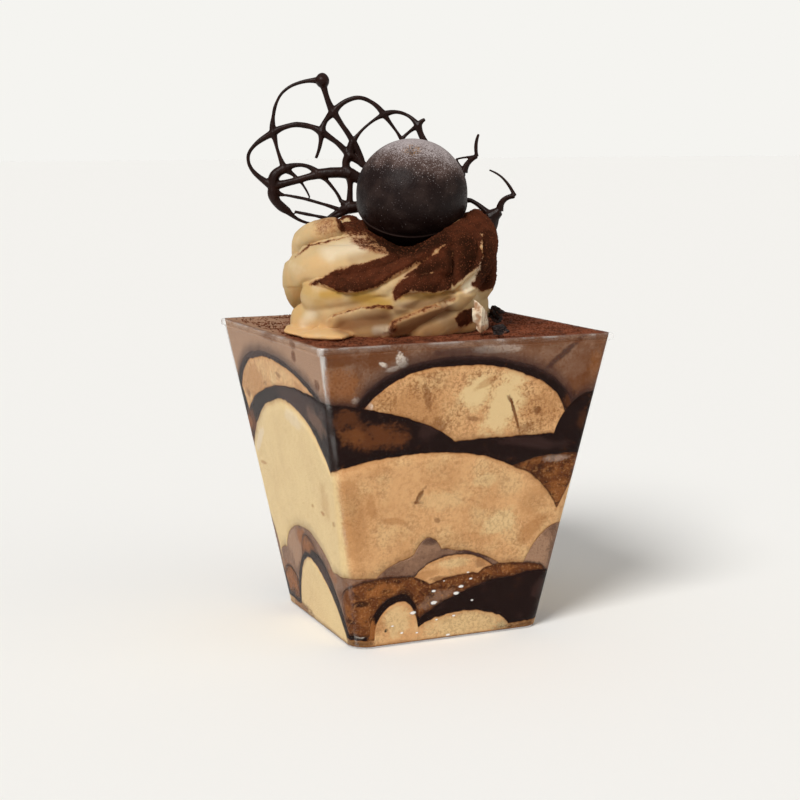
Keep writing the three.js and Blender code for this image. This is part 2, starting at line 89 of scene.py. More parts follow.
def length(name, description, default):
    return bpy.props.FloatProperty(name=name, description=description, default=default * MM,
                                   subtype="DISTANCE", unit="LENGTH", precision=5)


def plain_number(name, description, default, least):
    return bpy.props.FloatProperty(name=name, description=description, default=default, min=least)


def colour(name, description, red, green, blue):
    return bpy.props.FloatVectorProperty(name=name, description=description, subtype="COLOR", size=3,
                                         min=0, max=1, default=linear(red, green, blue))


def linear(*screen):
    """The linear colour of a screen colour given as 0 to 255."""
    shares = [each / 255 for each in screen]
    return tuple(v / 12.92 if v < 0.04045 else ((v + 0.055) / 1.055) ** 2.4 for v in shares)


class CupSettings(bpy.types.PropertyGroup):
    wall: length("Wall", "Thickness of the cup's wall", CUP_WALL)
    floor: length("Floor", "Thickness of the cup's floor", 1.2)
    tint: colour("Tint", "Colour of the clear plastic", 250, 249, 246)


class FillingSettings(bpy.types.PropertyGroup):
    into_wall: length("Into wall", "How far the filling reaches into the cup's wall and floor", 0.75)
    wobble: length("Wobble", "How far a layer's edge wanders", 0.22)
    cream: colour("Cream", "Colour of the set cream", 216, 168, 118)
    pale: colour("Pale cream", "Colour of the cream at the narrow face", 224, 198, 148)
    tan: colour("Tan", "Colour of the cream where coffee has soaked in", 176, 124, 76)
    golden: colour("Golden", "Colour of the sponge's driest crumb", 148, 92, 48)
    sponge: colour("Sponge", "Colour of the soaked sponge", 104, 60, 32)
    chocolate: colour("Chocolate", "Colour of the chocolate sauce", 30, 16, 13)
    shadow: colour("Shadow", "Colour of the sauce where it thins", 66, 44, 40)
    mousse: colour("Mousse", "Colour of the coffee mousse", 132, 100, 80)
    mauve: colour("Mauve", "Colour of the mousse at the narrow face", 166, 131, 105)
    white: colour("White", "Colour of frothy spots", 226, 214, 200)
    cocoa: colour("Cocoa", "Colour of the cocoa powder", 98, 52, 32)


class SwirlSettings(bpy.types.PropertyGroup):
    voxel: length("Detail", "Size of the voxels that join the lobes", 0.3)
    cream: colour("Cream", "Colour of the piped cream", 194, 167, 124)
    pale: colour("Pale cream", "Colour of the cream where it is driest", 216, 196, 164)
    warm_cream: colour("Warm cream", "Colour of the cream at the foot", 220, 174, 118)
    # The hollow, olive and umber tones are painted shade in the cream, and the glow tone a painted highlight
    hollow: colour("Hollow", "Colour of the cream in its hollows", 176, 126, 74)
    olive: colour("Olive", "Colour of the deepest hollows", 178, 138, 58)
    umber: colour("Umber", "Colour of the cream in its own shade", 118, 72, 42)
    rust: colour("Rust", "Colour of the cream under a thin dusting of cocoa", 134, 76, 42)
    glow: colour("Glow", "Colour of the cream on its brightest ridges", 232, 220, 196)
    cocoa: colour("Cocoa", "Colour of the cocoa sifted over it", 76, 36, 21)


class TruffleSettings(bpy.types.PropertyGroup):
    seam: length("Seam", "Height of the raised seam", 0.2)
    dark: colour("Chocolate", "Colour of the truffle", 25, 13, 11)
    frost: colour("Frost", "Colour of the frosty cap", 182, 172, 172)
    bloom: colour("Bloom", "Colour of the thin bloom under the frost", 84, 66, 60)
    gold: colour("Scratches", "Colour of the scratches at the pole", 150, 110, 66)


class LatticeSettings(bpy.types.PropertyGroup):
    voxel: length("Detail", "Size of the voxels that join the strands", 0.153)
    dark: colour("Chocolate", "Colour of the lattice", 30, 12, 7)


class ToppingSettings(bpy.types.PropertyGroup):
    smallest: length("Smallest", "Radius of the smallest cocoa crumb", 0.07)
    largest: length("Largest", "Radius of the largest cocoa crumb", 0.24)


class StageSettings(bpy.types.PropertyGroup):
    lens: plain_number("Lens", "Focal length of the camera", 72.03, 20)
    backdrop: colour("Backdrop", "Colour of the background", 245, 244, 240)
    floor: colour("Floor", "Colour of the floor", 242, 242, 240)
    key: plain_number("Key", "Strength of the main light", 2.55, 0)
    fill: plain_number("Fill", "Strength of the warm light", 0.35, 0)


class TiramisuSettings(bpy.types.PropertyGroup):
    cup: bpy.props.PointerProperty(type=CupSettings, name="Cup")
    filling: bpy.props.PointerProperty(type=FillingSettings, name="Filling")
    swirl: bpy.props.PointerProperty(type=SwirlSettings, name="Swirl")
    truffle: bpy.props.PointerProperty(type=TruffleSettings, name="Truffle")
    lattice: bpy.props.PointerProperty(type=LatticeSettings, name="Lattice")
    topping: bpy.props.PointerProperty(type=ToppingSettings, name="Crumbs and bits")
    stage: bpy.props.PointerProperty(type=StageSettings, name="Stage")


# Numbers and shapes, in millimetres

def seen(across, behind, height):
    """Points from their places in the nearest corner's view."""
    across, behind, height = (each[..., None] for each in np.broadcast_arrays(across, behind, height))
    return across * ACROSS + behind * BEHIND + height * np.array([0.0, 0.0, 1.0])


def in_view(points):
    """Where points appear to the viewer: across and height, read in the plane through the cup's axis."""
    shrink = EYE_DISTANCE / (EYE_DISTANCE + points @ BEHIND)
    return (points @ ACROSS) * shrink, EYE_HEIGHT - (EYE_HEIGHT - points[:, 2]) * shrink


def at_front(points):
    """1 on the side that faces the viewer and 0 behind, smooth within 3 mm of the middle."""
    return smooth_step(points @ BEHIND, 3, -3)


def smooth_step(value, low, high):
    share = np.clip((value - low) / (high - low), 0, 1)
    return share * share * (3 - 2 * share)


def cell_value(cell, seed):
    """A repeatable number from -1 to 1 for each whole-numbered cell."""
    mixed = cell[..., 0] * 73856093 ^ cell[..., 1] * 19349663 ^ cell[..., 2] * 83492791 ^ seed * 2654435761
    mixed = (mixed ^ (mixed >> 13)) * 1274126177 & 0xFFFFFFFF
    return ((mixed ^ (mixed >> 16)) & 0xFFFF) / 32767.5 - 1


def noise(points, size, seed=SEED):
    """Smooth noise from -1 to 1 whose lumps are about `size` across."""
    scaled = np.asarray(points, float) / size
    cell = np.floor(scaled).astype(np.int64)
    part = scaled - cell
    part = part * part * (3 - 2 * part)
    total = 0.0
    for corner in np.ndindex(2, 2, 2):
        weight = np.prod(np.where(np.array(corner), part, 1 - part), axis=-1)
        total = total + weight * cell_value(cell + np.array(corner), seed)
    return total


def rough(points, size, octaves, seed=SEED):
    """Noise with finer and finer lumps added."""
    return sum(noise(points, size / 2 ** k, seed + k) / 2 ** k for k in range(octaves))


def outer_half(height):
    straight_half = RIM_HALF - LIP_REACH
    return BASE_HALF + (straight_half - BASE_HALF) * height / CUP_HEIGHT


def outer_corner(height):
    """The cup's corners sharpen towards the rim."""
    return BASE_CORNER + (RIM_CORNER - BASE_CORNER) * height / CUP_HEIGHT


def square_points(place, half, corner, height):
    """Points round a square with rounded corners. `place` counts its faces from the left one (-X)
    round by the front one (-Y), so 1 is the nearest corner."""
    face = np.floor(place)
    side = 2 * (place - face) - 1
    straight = half - corner
    reach = np.abs(side) * half
    bend = (math.pi / 4) * np.clip((reach - straight) / corner, 0, None)
    along = np.where(reach > straight, straight + corner * np.sin(bend), reach)
    out = np.where(reach > straight, straight + corner * np.cos(bend), half)
    x, y = -out, -np.sign(side) * along
    turn = face * math.pi / 2
    return np.stack([x * np.cos(turn) - y * np.sin(turn), x * np.sin(turn) + y * np.cos(turn),
                     np.broadcast_to(height, x.shape)], axis=-1)


# Meshes

def add_object(name, data):
    added = bpy.data.objects.new(name, data)
    bpy.context.scene.collection.objects.link(added)
    return added


def add_mesh(name, points, faces, material=None, smooth=True):
    """A mesh object from points in millimetres and faces with equal numbers of corners."""
    faces = np.asarray(faces)
    mesh = bpy.data.meshes.new(name)
    mesh.vertices.add(len(points))
    mesh.vertices.foreach_set("co", (np.asarray(points) * MM).astype(np.float32).ravel())
    mesh.loops.add(faces.size)
    mesh.loops.foreach_set("vertex_index", faces.astype(np.int32).ravel())
    mesh.polygons.add(len(faces))
    mesh.polygons.foreach_set("loop_start", np.arange(0, faces.size, faces.shape[1], dtype=np.int32))
    mesh.update(calc_edges=True)
    mesh.polygons.foreach_set("use_smooth", np.full(len(faces), smooth))
    if material:
        mesh.materials.append(material)
    return add_object(name, mesh)


def points_of(piece):
    flat = np.empty(len(piece.data.vertices) * 3, np.float32)
    piece.data.vertices.foreach_get("co", flat)
    return flat.reshape(-1, 3).astype(float) / MM


def move_points(piece, points):
    """The piece takes these points. Gives its normals there."""
    piece.data.vertices.foreach_set("co", (points * MM).astype(np.float32).ravel())
    piece.data.update()
    flat = np.empty(len(points) * 3, np.float32)
    piece.data.vertex_normals.foreach_get("vector", flat)
    return flat.reshape(-1, 3).astype(float)


def set_material(piece, material):
    piece.data.materials.clear()
    piece.data.materials.append(material)


def store(piece, name, values, kind="FLOAT", domain="POINT"):
    """Values kept as an attribute of the mesh, for its material or a geometry tree."""
    layer = piece.data.attributes.get(name) or piece.data.attributes.new(name, kind, domain)
    key = "vector" if kind == "FLOAT_VECTOR" else "value"
    layer.data.foreach_set(key, np.asarray(values, np.float32).ravel())


def smoothed(piece, points, rounds, shrink_back=0.0):
    """Points eased towards their neighbours, and back again where shrink_back is set."""
    edges = np.empty(len(piece.data.edges) * 2, np.int32)
    piece.data.edges.foreach_get("vertices", edges)
    a, b = edges.reshape(-1, 2).T
    count = np.bincount(a, minlength=len(points)) + np.bincount(b, minlength=len(points))
    for turn in range(rounds * (2 if shrink_back else 1)):
        total = np.zeros_like(points)
        for axis in range(points.shape[1]):
            total[:, axis] = (np.bincount(a, points[b, axis], len(points))
                              + np.bincount(b, points[a, axis], len(points)))
        step = -shrink_back if shrink_back and turn % 2 else 0.5
        points = points + step * (total / np.maximum(count, 1)[:, None] - points)
    return points


def ring_faces(rings, steps):
    """Triangles of a stack of rings with a pole at each end: pole 0, the rings, then the last pole."""
    step = np.arange(steps)
    following = (step + 1) % steps
    first = 1 + np.arange(rings - 1)[:, None] * steps
    a, b = first + step, first + following
    c, d = b + steps, a + steps
    walls = np.concatenate([np.stack(face, -1).reshape(-1, 3) for face in ((a, b, c), (a, c, d))])
    last = 1 + rings * steps
    start = np.stack([np.zeros_like(step), 1 + following, 1 + step], -1)
    end = np.stack([np.full_like(step, last), last - steps + step, last - steps + following], -1)
    return np.concatenate([start, walls, end])


def ball(rings, steps):
    """Points of a ball of radius 1, in the order that ring_faces reads."""
    tilt = np.linspace(-math.pi / 2, math.pi / 2, rings + 2)[1:-1, None]
    turn = np.linspace(0, 2 * math.pi, steps, endpoint=False)
    height = np.broadcast_to(np.sin(tilt), (rings, steps))
    shell = np.stack([np.cos(tilt) * np.cos(turn), np.cos(tilt) * np.sin(turn), height], -1)
    return np.concatenate([[(0, 0, -1)], shell.reshape(-1, 3), [(0, 0, 1)]])


def remeshed(pieces, name, voxel):
    """One skin round overlapping closed pieces, which are joined and so removed."""
    bpy.ops.object.select_all(action="DESELECT")
    for piece in pieces:
        piece.select_set(True)
    whole = pieces[0]
    bpy.context.view_layer.objects.active = whole
    bpy.ops.object.join()
    whole.name = name
    whole.data.name = name
    remesh = whole.modifiers.new("Skin", "REMESH")
    remesh.mode = "VOXEL"
    remesh.voxel_size = voxel
    return plain(whole)


def plain(piece):
    """The object with its modifiers applied to its mesh."""
    view = bpy.context.evaluated_depsgraph_get()
    mesh = bpy.data.meshes.new_from_object(piece.evaluated_get(view))
    mesh.name = piece.name
    piece.modifiers.clear()
    old = piece.data
    piece.data = mesh
    bpy.data.meshes.remove(old)
    mesh.polygons.foreach_set("use_smooth", np.full(len(mesh.polygons), True))
    return piece


def dress(piece, slot, *nodes):
    """The piece rides on the part's body and stands for the named solids."""
    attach(piece, BODY)
    if nodes:
        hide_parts(*nodes)


# Geometry Nodes

def new_tree(name, inputs):
    """A geometry tree with a Geometry input and output and the named inputs after it."""
    tree = bpy.data.node_groups.new(name, "GeometryNodeTree")
    tree.interface.new_socket("Geometry", in_out="INPUT", socket_type="NodeSocketGeometry")
    for label, kind, default in inputs:
        socket = tree.interface.new_socket(label, in_out="INPUT", socket_type="NodeSocket" + kind)
        if default is not None:
            socket.default_value = default
    tree.interface.new_socket("Geometry", in_out="OUTPUT", socket_type="NodeSocketGeometry")
    return tree


def tree_node(tree, kind, settings=None, **sockets):
    """A node with its settings made first, then its sockets set or linked by identifier."""
    node = tree.nodes.new(kind)
    for key, value in (settings or {}).items():
        setattr(node, key, value)
    for key, value in sockets.items():
        socket = next(s for s in node.inputs if s.identifier == key.replace("__", " "))
        if isinstance(value, bpy.types.NodeSocket):
            tree.links.new(value, socket)
        else:
            socket.default_value = value
    return node


def finish_tree(tree, given, geometry):
    """The tree's end: instances made real, and the material set."""
    real = tree_node(tree, "GeometryNodeRealizeInstances", Geometry=geometry)
    dressed = tree_node(tree, "GeometryNodeSetMaterial", Geometry=real.outputs["Geometry"],
                        Material=given["Material"])
    result = tree.nodes.new("NodeGroupOutput")
    tree.links.new(dressed.outputs["Geometry"], result.inputs["Geometry"])
    return tree


def sweep_tree():
    """A round tube along each line of edges, as wide as the line's `radius` attribute says."""
    tree = new_tree("Sweep", [("Sides", "Int", 12), ("Material", "Material", None)])
    given = tree.nodes.new("NodeGroupInput").outputs
    line = tree_node(tree, "GeometryNodeMeshToCurve", Mesh=given["Geometry"])
    section = tree_node(tree, "GeometryNodeCurvePrimitiveCircle", Resolution=given["Sides"], Radius=1.0)
    radius = tree_node(tree, "GeometryNodeInputNamedAttribute", {"data_type": "FLOAT"}, Name="radius")
    tube = tree_node(tree, "GeometryNodeCurveToMesh", Curve=line.outputs["Curve"],
                     Profile__Curve=section.outputs["Curve"], Scale=radius.outputs["Attribute"],
                     Fill__Caps=True)
    return finish_tree(tree, given, tube.outputs["Mesh"])


def scatter_tree():
    """Small crumbs on a surface, where its `dust` attribute allows them."""
    tree = new_tree("Scatter", [
        ("Density", "Float", 1e6), ("Smallest", "Float", 1e-4), ("Largest", "Float", 3e-4),
        ("Seed", "Int", SEED), ("Material", "Material", None),
    ])
    given = tree.nodes.new("NodeGroupInput").outputs
    dust = tree_node(tree, "GeometryNodeInputNamedAttribute", {"data_type": "FLOAT"}, Name="dust")
    density = tree_node(tree, "ShaderNodeMath", {"operation": "MULTIPLY"},
                        Value=dust.outputs["Attribute"], Value_001=given["Density"])
    spots = tree_node(tree, "GeometryNodeDistributePointsOnFaces", Mesh=given["Geometry"],
                      Density=density.outputs[0], Seed=given["Seed"])
    crumb = tree_node(tree, "GeometryNodeMeshIcoSphere", Radius=1.0, Subdivisions=1)
    low, high = (tree_node(tree, "ShaderNodeCombineXYZ", X=given[end], Y=given[end], Z=given[end])
                 for end in ("Smallest", "Largest"))
    size = tree_node(tree, "FunctionNodeRandomValue", {"data_type": "FLOAT_VECTOR"}, Min=low.outputs[0],
                     Max=high.outputs[0], Seed=given["Seed"])
    turn = tree_node(tree, "FunctionNodeRandomValue", {"data_type": "FLOAT_VECTOR"}, Max=(6.28, 6.28, 6.28),
                     Seed=given["Seed"])
    placed = tree_node(tree, "GeometryNodeInstanceOnPoints", Points=spots.outputs["Points"],
                       Instance=crumb.outputs["Mesh"], Rotation=turn.outputs[0], Scale=size.outputs[0])
    return finish_tree(tree, given, placed.outputs["Instances"])


def grown(piece, tree, **values):
    """The piece's mesh after a geometry tree, with the tree's inputs set by their names."""
    modifier = piece.modifiers.new(tree.name, "NODES")
    modifier.node_group = tree
    for item in tree.interface.items_tree:
        if item.in_out == "INPUT" and item.name in values:
            modifier[item.identifier] = values[item.name]
    return plain(piece)


def swept(name, lines, sides):
    """Tubes along lines, each given as its points and its radius at each point."""
    counts = [len(points) for points, _ in lines]
    starts = np.concatenate([[0], np.cumsum(counts)[:-1]])
    edges = np.concatenate([start + np.stack([np.arange(n - 1), np.arange(1, n)], -1)
                            for start, n in zip(starts, counts)])
    mesh = bpy.data.meshes.new(name)
    mesh.from_pydata((np.concatenate([points for points, _ in lines]) * MM).tolist(), edges.tolist(), [])
    piece = add_object(name, mesh)
    store(piece, "radius", np.concatenate([radius for _, radius in lines]) * MM)
    tree = bpy.data.node_groups.get("Sweep") or sweep_tree()
    return grown(piece, tree, Sides=sides)


def scattered(name, carrier, dust, material, density, smallest, largest):
    """Crumbs over a carrier, where `dust` allows them. Density is in crumbs a square millimetre."""
    piece = add_object(name, carrier.data.copy())
    store(piece, "dust", dust)
    tree = bpy.data.node_groups.get("Scatter") or scatter_tree()
    crumbs = grown(piece, tree, Density=density / MM ** 2, Smallest=smallest, Largest=largest, Seed=SEED,
                   Material=material)
    crumbs.data.polygons.foreach_set("use_smooth", np.full(len(crumbs.data.polygons), False))
    return crumbs


# Materials

class Term:
    """A shader socket in an expression, so that node maths reads as Python."""

    def __init__(self, nodes, socket):
        self.nodes = nodes
        self.socket = socket

    def _maths(self, operation, first, second):
        return self.nodes.node("ShaderNodeMath", {"operation": operation}, {0: first, 1: second})

    def __add__(self, other):
        return self._maths("ADD", self, other)

    __radd__ = __add__

    def __mul__(self, other):
        return self._maths("MULTIPLY", self, other)

    __rmul__ = __mul__

    def __sub__(self, other):
        return self._maths("SUBTRACT", self, other)

    def __rsub__(self, other):
        return self._maths("SUBTRACT", other, self)

    def __truediv__(self, other):
        return self._maths("DIVIDE", self, other)

    def __pow__(self, other):
        return self._maths("POWER", self, other)

    def least(self, other):
        return self._maths("MINIMUM", self, other)

    def most(self, other):
        return self._maths("MAXIMUM", self, other)


class Nodes:
    """The nodes of a material or of the world, and those that expressions add."""

    def __init__(self, owner):
        owner.use_nodes = True
        self.tree = owner.node_tree
        self.tree.nodes.clear()

    def node(self, kind, settings=None, sockets=None, output=0):
        """A node's output, with its settings made first and then its sockets set or linked."""
        node = self.tree.nodes.new(kind)
        for key, value in (settings or {}).items():
            setattr(node, key, value)
        for key, value in (sockets or {}).items():
            socket = node.inputs[key]
            if isinstance(value, Term):
                self.tree.links.new(value.socket, socket)
            else:
                socket.default_value = (*value, 1) if socket.type == "RGBA" else value
        return Term(self, node.outputs[output])

    def parts(self, vector):
        """The three components of a vector."""
        first = self.node("ShaderNodeSeparateXYZ", None, {0: vector})
        return [Term(self, socket) for socket in first.socket.node.outputs]

    def step(self, value, low, high, least=0.0, most=1.0):
        """`least` below low and `most` above high, smooth between them. low may be the larger."""
        return self.node("ShaderNodeMapRange", {"interpolation_type": "SMOOTHSTEP"},
                         {"Value": value, "From Min": low, "From Max": high, "To Min": least, "To Max": most})

    def mix(self, share, first, second):
        """A colour between two."""
        return self.node("ShaderNodeMix", {"data_type": "RGBA"}, {0: share, 6: first, 7: second}, 2)

    def finish(self, kind, shader):
        result = self.tree.nodes.new("ShaderNodeOutput" + kind)
        self.tree.links.new(shader.socket, result.inputs["Surface"])


class Look(Nodes):
    """A material whose tone is built up by laying colours over each other. A tone is a colour or the
    name of one of the settings."""

    def __init__(self, name, settings, tone):
        self.material = bpy.data.materials.new(name)
        super().__init__(self.material)
        place = self.node("ShaderNodeTexCoord", output="Object")
        self.place = self.node("ShaderNodeVectorMath", {"operation": "SCALE"}, {0: place, "Scale": 1 / MM})
        self.settings = settings
        self.tone = self.colour_of(tone)

    def colour_of(self, tone, share=1.0):
        """A tone's colour, darker where share is below 1 and lighter above it."""
        tone = getattr(self.settings, tone) if isinstance(tone, str) else tone
        return tuple(share * each for each in tone)

    def lay(self, share, tone, times=1.0):
        """A tone laid over the present one, darker or lighter by `times`."""
        self.tone = self.mix(share, self.tone, self.colour_of(tone, times))

    def attribute(self, name, output="Fac"):
        return self.node("ShaderNodeAttribute", {"attribute_name": name}, output=output)

    def stretched(self, x, y, z):
        """The place, with each axis multiplied."""
        return self.node("ShaderNodeVectorMath", {"operation": "MULTIPLY"}, {0: self.place, 1: (x, y, z)})

    def noise(self, size, detail=3, distortion=0, roughness=0.5, place=None):
        """Noise from 0 to 1 with lumps of about `size` millimetres."""
        return self.node("ShaderNodeTexNoise", None, {
            "Vector": place or self.place, "Scale": 1 / size, "Detail": detail, "Roughness": roughness,
            "Distortion": distortion})

    def blotches(self, size, low, high, *how):
        """Ragged patches of noise, with what it takes after its size. The nearer `low` is to 0.5,
        the denser they lie."""
        return self.step(self.noise(size, *how), low, high)

    def specks(self, size, low, high):
        return self.blotches(size, low, high, 3, 0, 0.6)

    def cells(self, size):
        """Distance to the nearest of points about `size` millimetres apart, in cells."""
        return self.node("ShaderNodeTexVoronoi", None, {"Vector": self.place, "Scale": 1 / size})

    def bump(self, height, distance):
        return self.node("ShaderNodeBump", None, {"Height": height, "Distance": distance * MM})

    def surface(self, **sockets):
        """The finished material, with Principled sockets named with underscores."""
        given = {key.replace("_", " "): value for key, value in sockets.items()}
        shader = self.node("ShaderNodeBsdfPrincipled", None, {"Base Color": self.tone, **given})
        self.finish("Material", shader)
        return self.material


# Cup

# White glints on the front of the cup: across the face and up it, and how wide, in millimetres
GLINTS = [
    (-11.2, 2.8, 0.45), (-9.0, 7.0, 0.8), (-4.4, 8.7, 0.9), (-4.6, 11.3, 0.6), (0.6, 10.2, 0.8),
    (1.6, 11.6, 0.7), (3.7, 13.1, 0.45), (-0.6, 1.0, 0.6), (-3.5, 4.8, 0.4), (4.4, 8.2, 0.4),
    (-2.4, 13.3, 0.3), (0.4, 5.2, 0.5), (-13.4, 4.6, 0.4), (-7.8, 2.4, 0.4), (3.0, 14.6, 0.35),
]


def cup_look(settings):
    """Thin clear plastic: see-through, brighter where it turns away, with painted highlights at its lip and
    its corners and painted glints on its front.
    """
    look = Look("clear plastic", settings, "tint")
    turned = look.node("ShaderNodeLayerWeight", None, {"Blend": 0.25}, "Facing")
    # Painted highlights down the corners and along the lip, broken into upright streaks
    highlight_streak = look.blotches(4.0, 0.45, 0.6, 4, 0, 0.5, look.stretched(1, 1, 0.1))
    bright = look.attribute("bright") * (0.15 + highlight_streak * 0.85)
    across, depth, height = look.parts(look.place)
    uneven = (look.noise(0.5, 2) - 0.5) * 0.5
    glint = 0.0
    for at_across, at_height, wide in GLINTS:
        sideways, upward = (across - at_across) / wide, (height - at_height) / (0.55 * wide)
        reach = (sideways * sideways + upward * upward) ** 0.5
        glint = look.step(reach + uneven, 1.0, 0.5).most(glint)
    alpha = 0.002 + turned ** 3.0 * 0.3 + bright + glint * look.step(depth, -15.0, -18.0) * 0.85
    return look.surface(Roughness=0.08, Alpha=alpha, IOR=1.45, Specular_IOR_Level=0.3)


def make_cup(settings):
    """The clear cup: tapered walls, a small foot bevel, a lip and corners that sharpen upwards."""
    wall, floor = settings.wall / MM, settings.floor / MM
    turning = np.linspace(-1, 1, 21) * BASE_CORNER / RIM_HALF / 2
    flat = np.linspace(0, 1, 9)[1:-1] * (1 - BASE_CORNER / RIM_HALF) + BASE_CORNER / RIM_HALF / 2
    places = np.sort(np.concatenate([[*(face + turning), *(face + flat)] for face in range(4)]) % 4)
    lip_foot = CUP_HEIGHT - LIP_HEIGHT
    rings = []
    # Painted highlights along the lip, ring by ring
    bright = []

    def outer(half, height, corner=None):
        rings.append(square_points(places, half, corner or outer_corner(height), height))
        bright.append(np.full(len(places), 0.2 * smooth_step(height, CUP_HEIGHT - 0.5, CUP_HEIGHT - 0.1)))

    def inner(half, height):
        rings.append(square_points(places, half, outer_corner(height) - wall, height))
        bright.append(np.full(len(places), 0.1 if height > lip_foot else 0.0))

    for angle in np.linspace(0, math.pi / 2, 6):
        inset = FOOT_ROUND * (1 - math.sin(angle))
        outer(outer_half(FOOT_ROUND) - inset, FOOT_ROUND * (1 - math.cos(angle)), BASE_CORNER - inset)
    for height in np.linspace(2, lip_foot - 0.5, 12):
        outer(outer_half(height), height)
    outer(outer_half(lip_foot) + 0.08, lip_foot)
    lip_turns = [(angle, lip_foot + LIP_ROUND) for angle in np.linspace(-math.pi / 2, 0, 4)]
    lip_turns += [(angle, CUP_HEIGHT - LIP_ROUND) for angle in np.linspace(0, math.pi / 2, 5)]
    for angle, level in lip_turns:
        outer(RIM_HALF - LIP_ROUND + LIP_ROUND * math.cos(angle), level + LIP_ROUND * math.sin(angle))
    inner_top = outer_half(CUP_HEIGHT) - wall
    for angle in np.linspace(0, math.pi / 2, 4):
        inner(inner_top + LIP_ROUND * (1 - math.sin(angle)), CUP_HEIGHT - LIP_ROUND * (1 - math.cos(angle)))
    for height in np.linspace(lip_foot, floor + 0.4, 9):
        inner(outer_half(height) - wall, height)
    inner(outer_half(floor) - wall - 0.4, floor)
    points = np.concatenate([[(0, 0, 0)], *rings, [(0, 0, floor)]])
    cup = add_mesh("clear_cup", points, ring_faces(len(rings), len(places)), cup_look(settings))
    # Painted highlights down the corners, strongest near the top
    on_corner = smooth_step(np.abs(places - np.round(places)), 0.02, 0.004)
    shine = [band + on_corner * (0.1 + 0.45 * smooth_step(ring[:, 2], 48, 57))
             for band, ring in zip(bright, rings)]
    store(cup, "bright", np.concatenate([[0], *shine, [0]]))
    dress(cup, "cup", "cup")


# Filling

def dome(start, peak, end, foot, top, fullness):
    """A dollop at the wall: where it starts, peaks and ends, its foot and top, and how full it is."""
    return {"start": start, "peak": peak, "end": end, "foot": foot, "top": top, "fullness": fullness}


# Each layer from the bottom, with the height of its top: in the middle of the cup, at the wall
# where no dollop rises, and in one dome for each dollop that shows at the wall
LAYERS = [
    ("cream_lower", 7, 1.9, [
        dome(0.255, 0.54, 0.93, 0, 15.2, 0.95),
        dome(1.105, 1.25, 1.33, 2, 9.6, 0.5),
        dome(1.29, 1.54, 1.825, 0, 5.9, 0.45),
    ]),
    ("chocolate_lower", 8.6, 2.6, [
        dome(0.235, 0.53, 0.95, 1, 16.1, 0.95),
        dome(0.42, 0.6, 0.965, 0, 17.7, 0.9),
        dome(1.08, 1.25, 1.34, 2, 11.1, 0.5),
        dome(1.25, 1.95, 2.12, 0, 13.2, 0.6),
    ]),
    ("sponge_lower", 13, 3, [
        dome(0.06, 0.2, 0.34, 2, 9.9, 0.5),
        dome(0.42, 0.53, 0.7, 12, 20.6, 0.7),
        dome(0.9, 1.2, 1.42, 6, 15.4, 0.25),
        dome(1.3, 1.52, 1.8, 8, 14.2, 0.4),
        dome(1.6, 1.72, 1.97, 10, 15.6, 0.25),
    ]),
    ("cream_pocket", 14.6, 4, [
        dome(1.3, 1.5, 1.7, 14, 18.9, 0.7),
    ]),
    ("mousse_lower", 18, 8.2, [
        dome(0.1, 1.0, 1.92, 8, 15.4, 0.12),
        dome(0.22, 0.53, 0.84, 14.5, 21.8, 0.8),
        dome(1.13, 1.42, 1.72, 15.3, 20.3, 0.8),
        dome(1.27, 1.375, 1.47, 15.3, 23.1, 1),
        dome(1.82, 1.97, 2.1, 12, 23.5, 0.7),
    ]),
    ("cream_middle", 36, 24, [
        dome(-0.08, 0.57, 1.08, 21, 49.9, 0.6),
        dome(0.6, 1.32, 1.975, 20, 41.4, 0.5),
    ]),
    ("sponge_middle", 38, 24, [
        dome(1.62, 1.9, 2.2, 24, 38.9, 0.2),
    ]),
    ("chocolate_middle", 42, 43.4, [
        dome(0.05, 0.75, 1.48, 42, 53.6, 0.7),
        dome(1.86, 1.99, 2.08, 43, 52, 0.6),
    ]),
    ("cream_upper", 54, 44, [
        dome(0.03, 0.42, 1.0, 45, 58.2, 0.5),
        dome(1.09, 1.45, 1.895, 45, 59.2, 0.5),
    ]),
    ("chocolate_upper", 56.5, 44.5, [
        dome(0.0, 0.42, 1.03, 46, 59.1, 0.5),
        dome(1.065, 1.45, 1.92, 46, 60.8, 0.5),
    ]),
    ("mousse_upper", 62.7, 62.7, []),
    ("cocoa_top", FILL_LEVEL, FILL_LEVEL, []),
]

# Where the filling starts, the rows of faces on the wall in each layer, the rings of the powder on
# top, and how thin a layer is where it has ended
FILLING_FOOT = 0.4
WALL_ROWS = 10
TOP_RINGS = 60
LAYER_ENDS = 0.02


def dome_height(each, place):
    """The height of a dollop's outline at each place round the wall, and -1 beside it."""
    offset = place - each["peak"]
    side = np.where(offset < 0, each["peak"] - each["start"], each["end"] - each["peak"])
    reach = offset / side
    rise = np.clip(1 - reach * reach, 0, None) ** each["fullness"]
    return np.where(np.abs(reach) < 1, each["foot"] + (each["top"] - each["foot"]) * rise, -1)


def layer_tops(places, wobble):
    """The height of every layer's top round the wall. None dips below the layer under it."""
    repeated = places % 2
    ring = square_points(places, 26.0, 3.0, 0.0)
    tops = []
    below = np.full(len(places), FILLING_FOOT)
    for index, (_, _, level, domes) in enumerate(LAYERS):
        rise = np.full(len(places), float(level))
        for each in domes:
            for turn in (-2, 0, 2):
                rise = np.maximum(rise, dome_height(each, repeated + turn))
        if domes:
            at = ring + np.array([0, 0, 40.0 * index])
            fine = 0.7 * rough(at, 1.1, 2, SEED + 20 + index)
            rise = rise + wobble * (rough(at, 5.0, 2, SEED + index) + fine)
        below = np.maximum(below, rise)
        tops.append(below)
    return tops


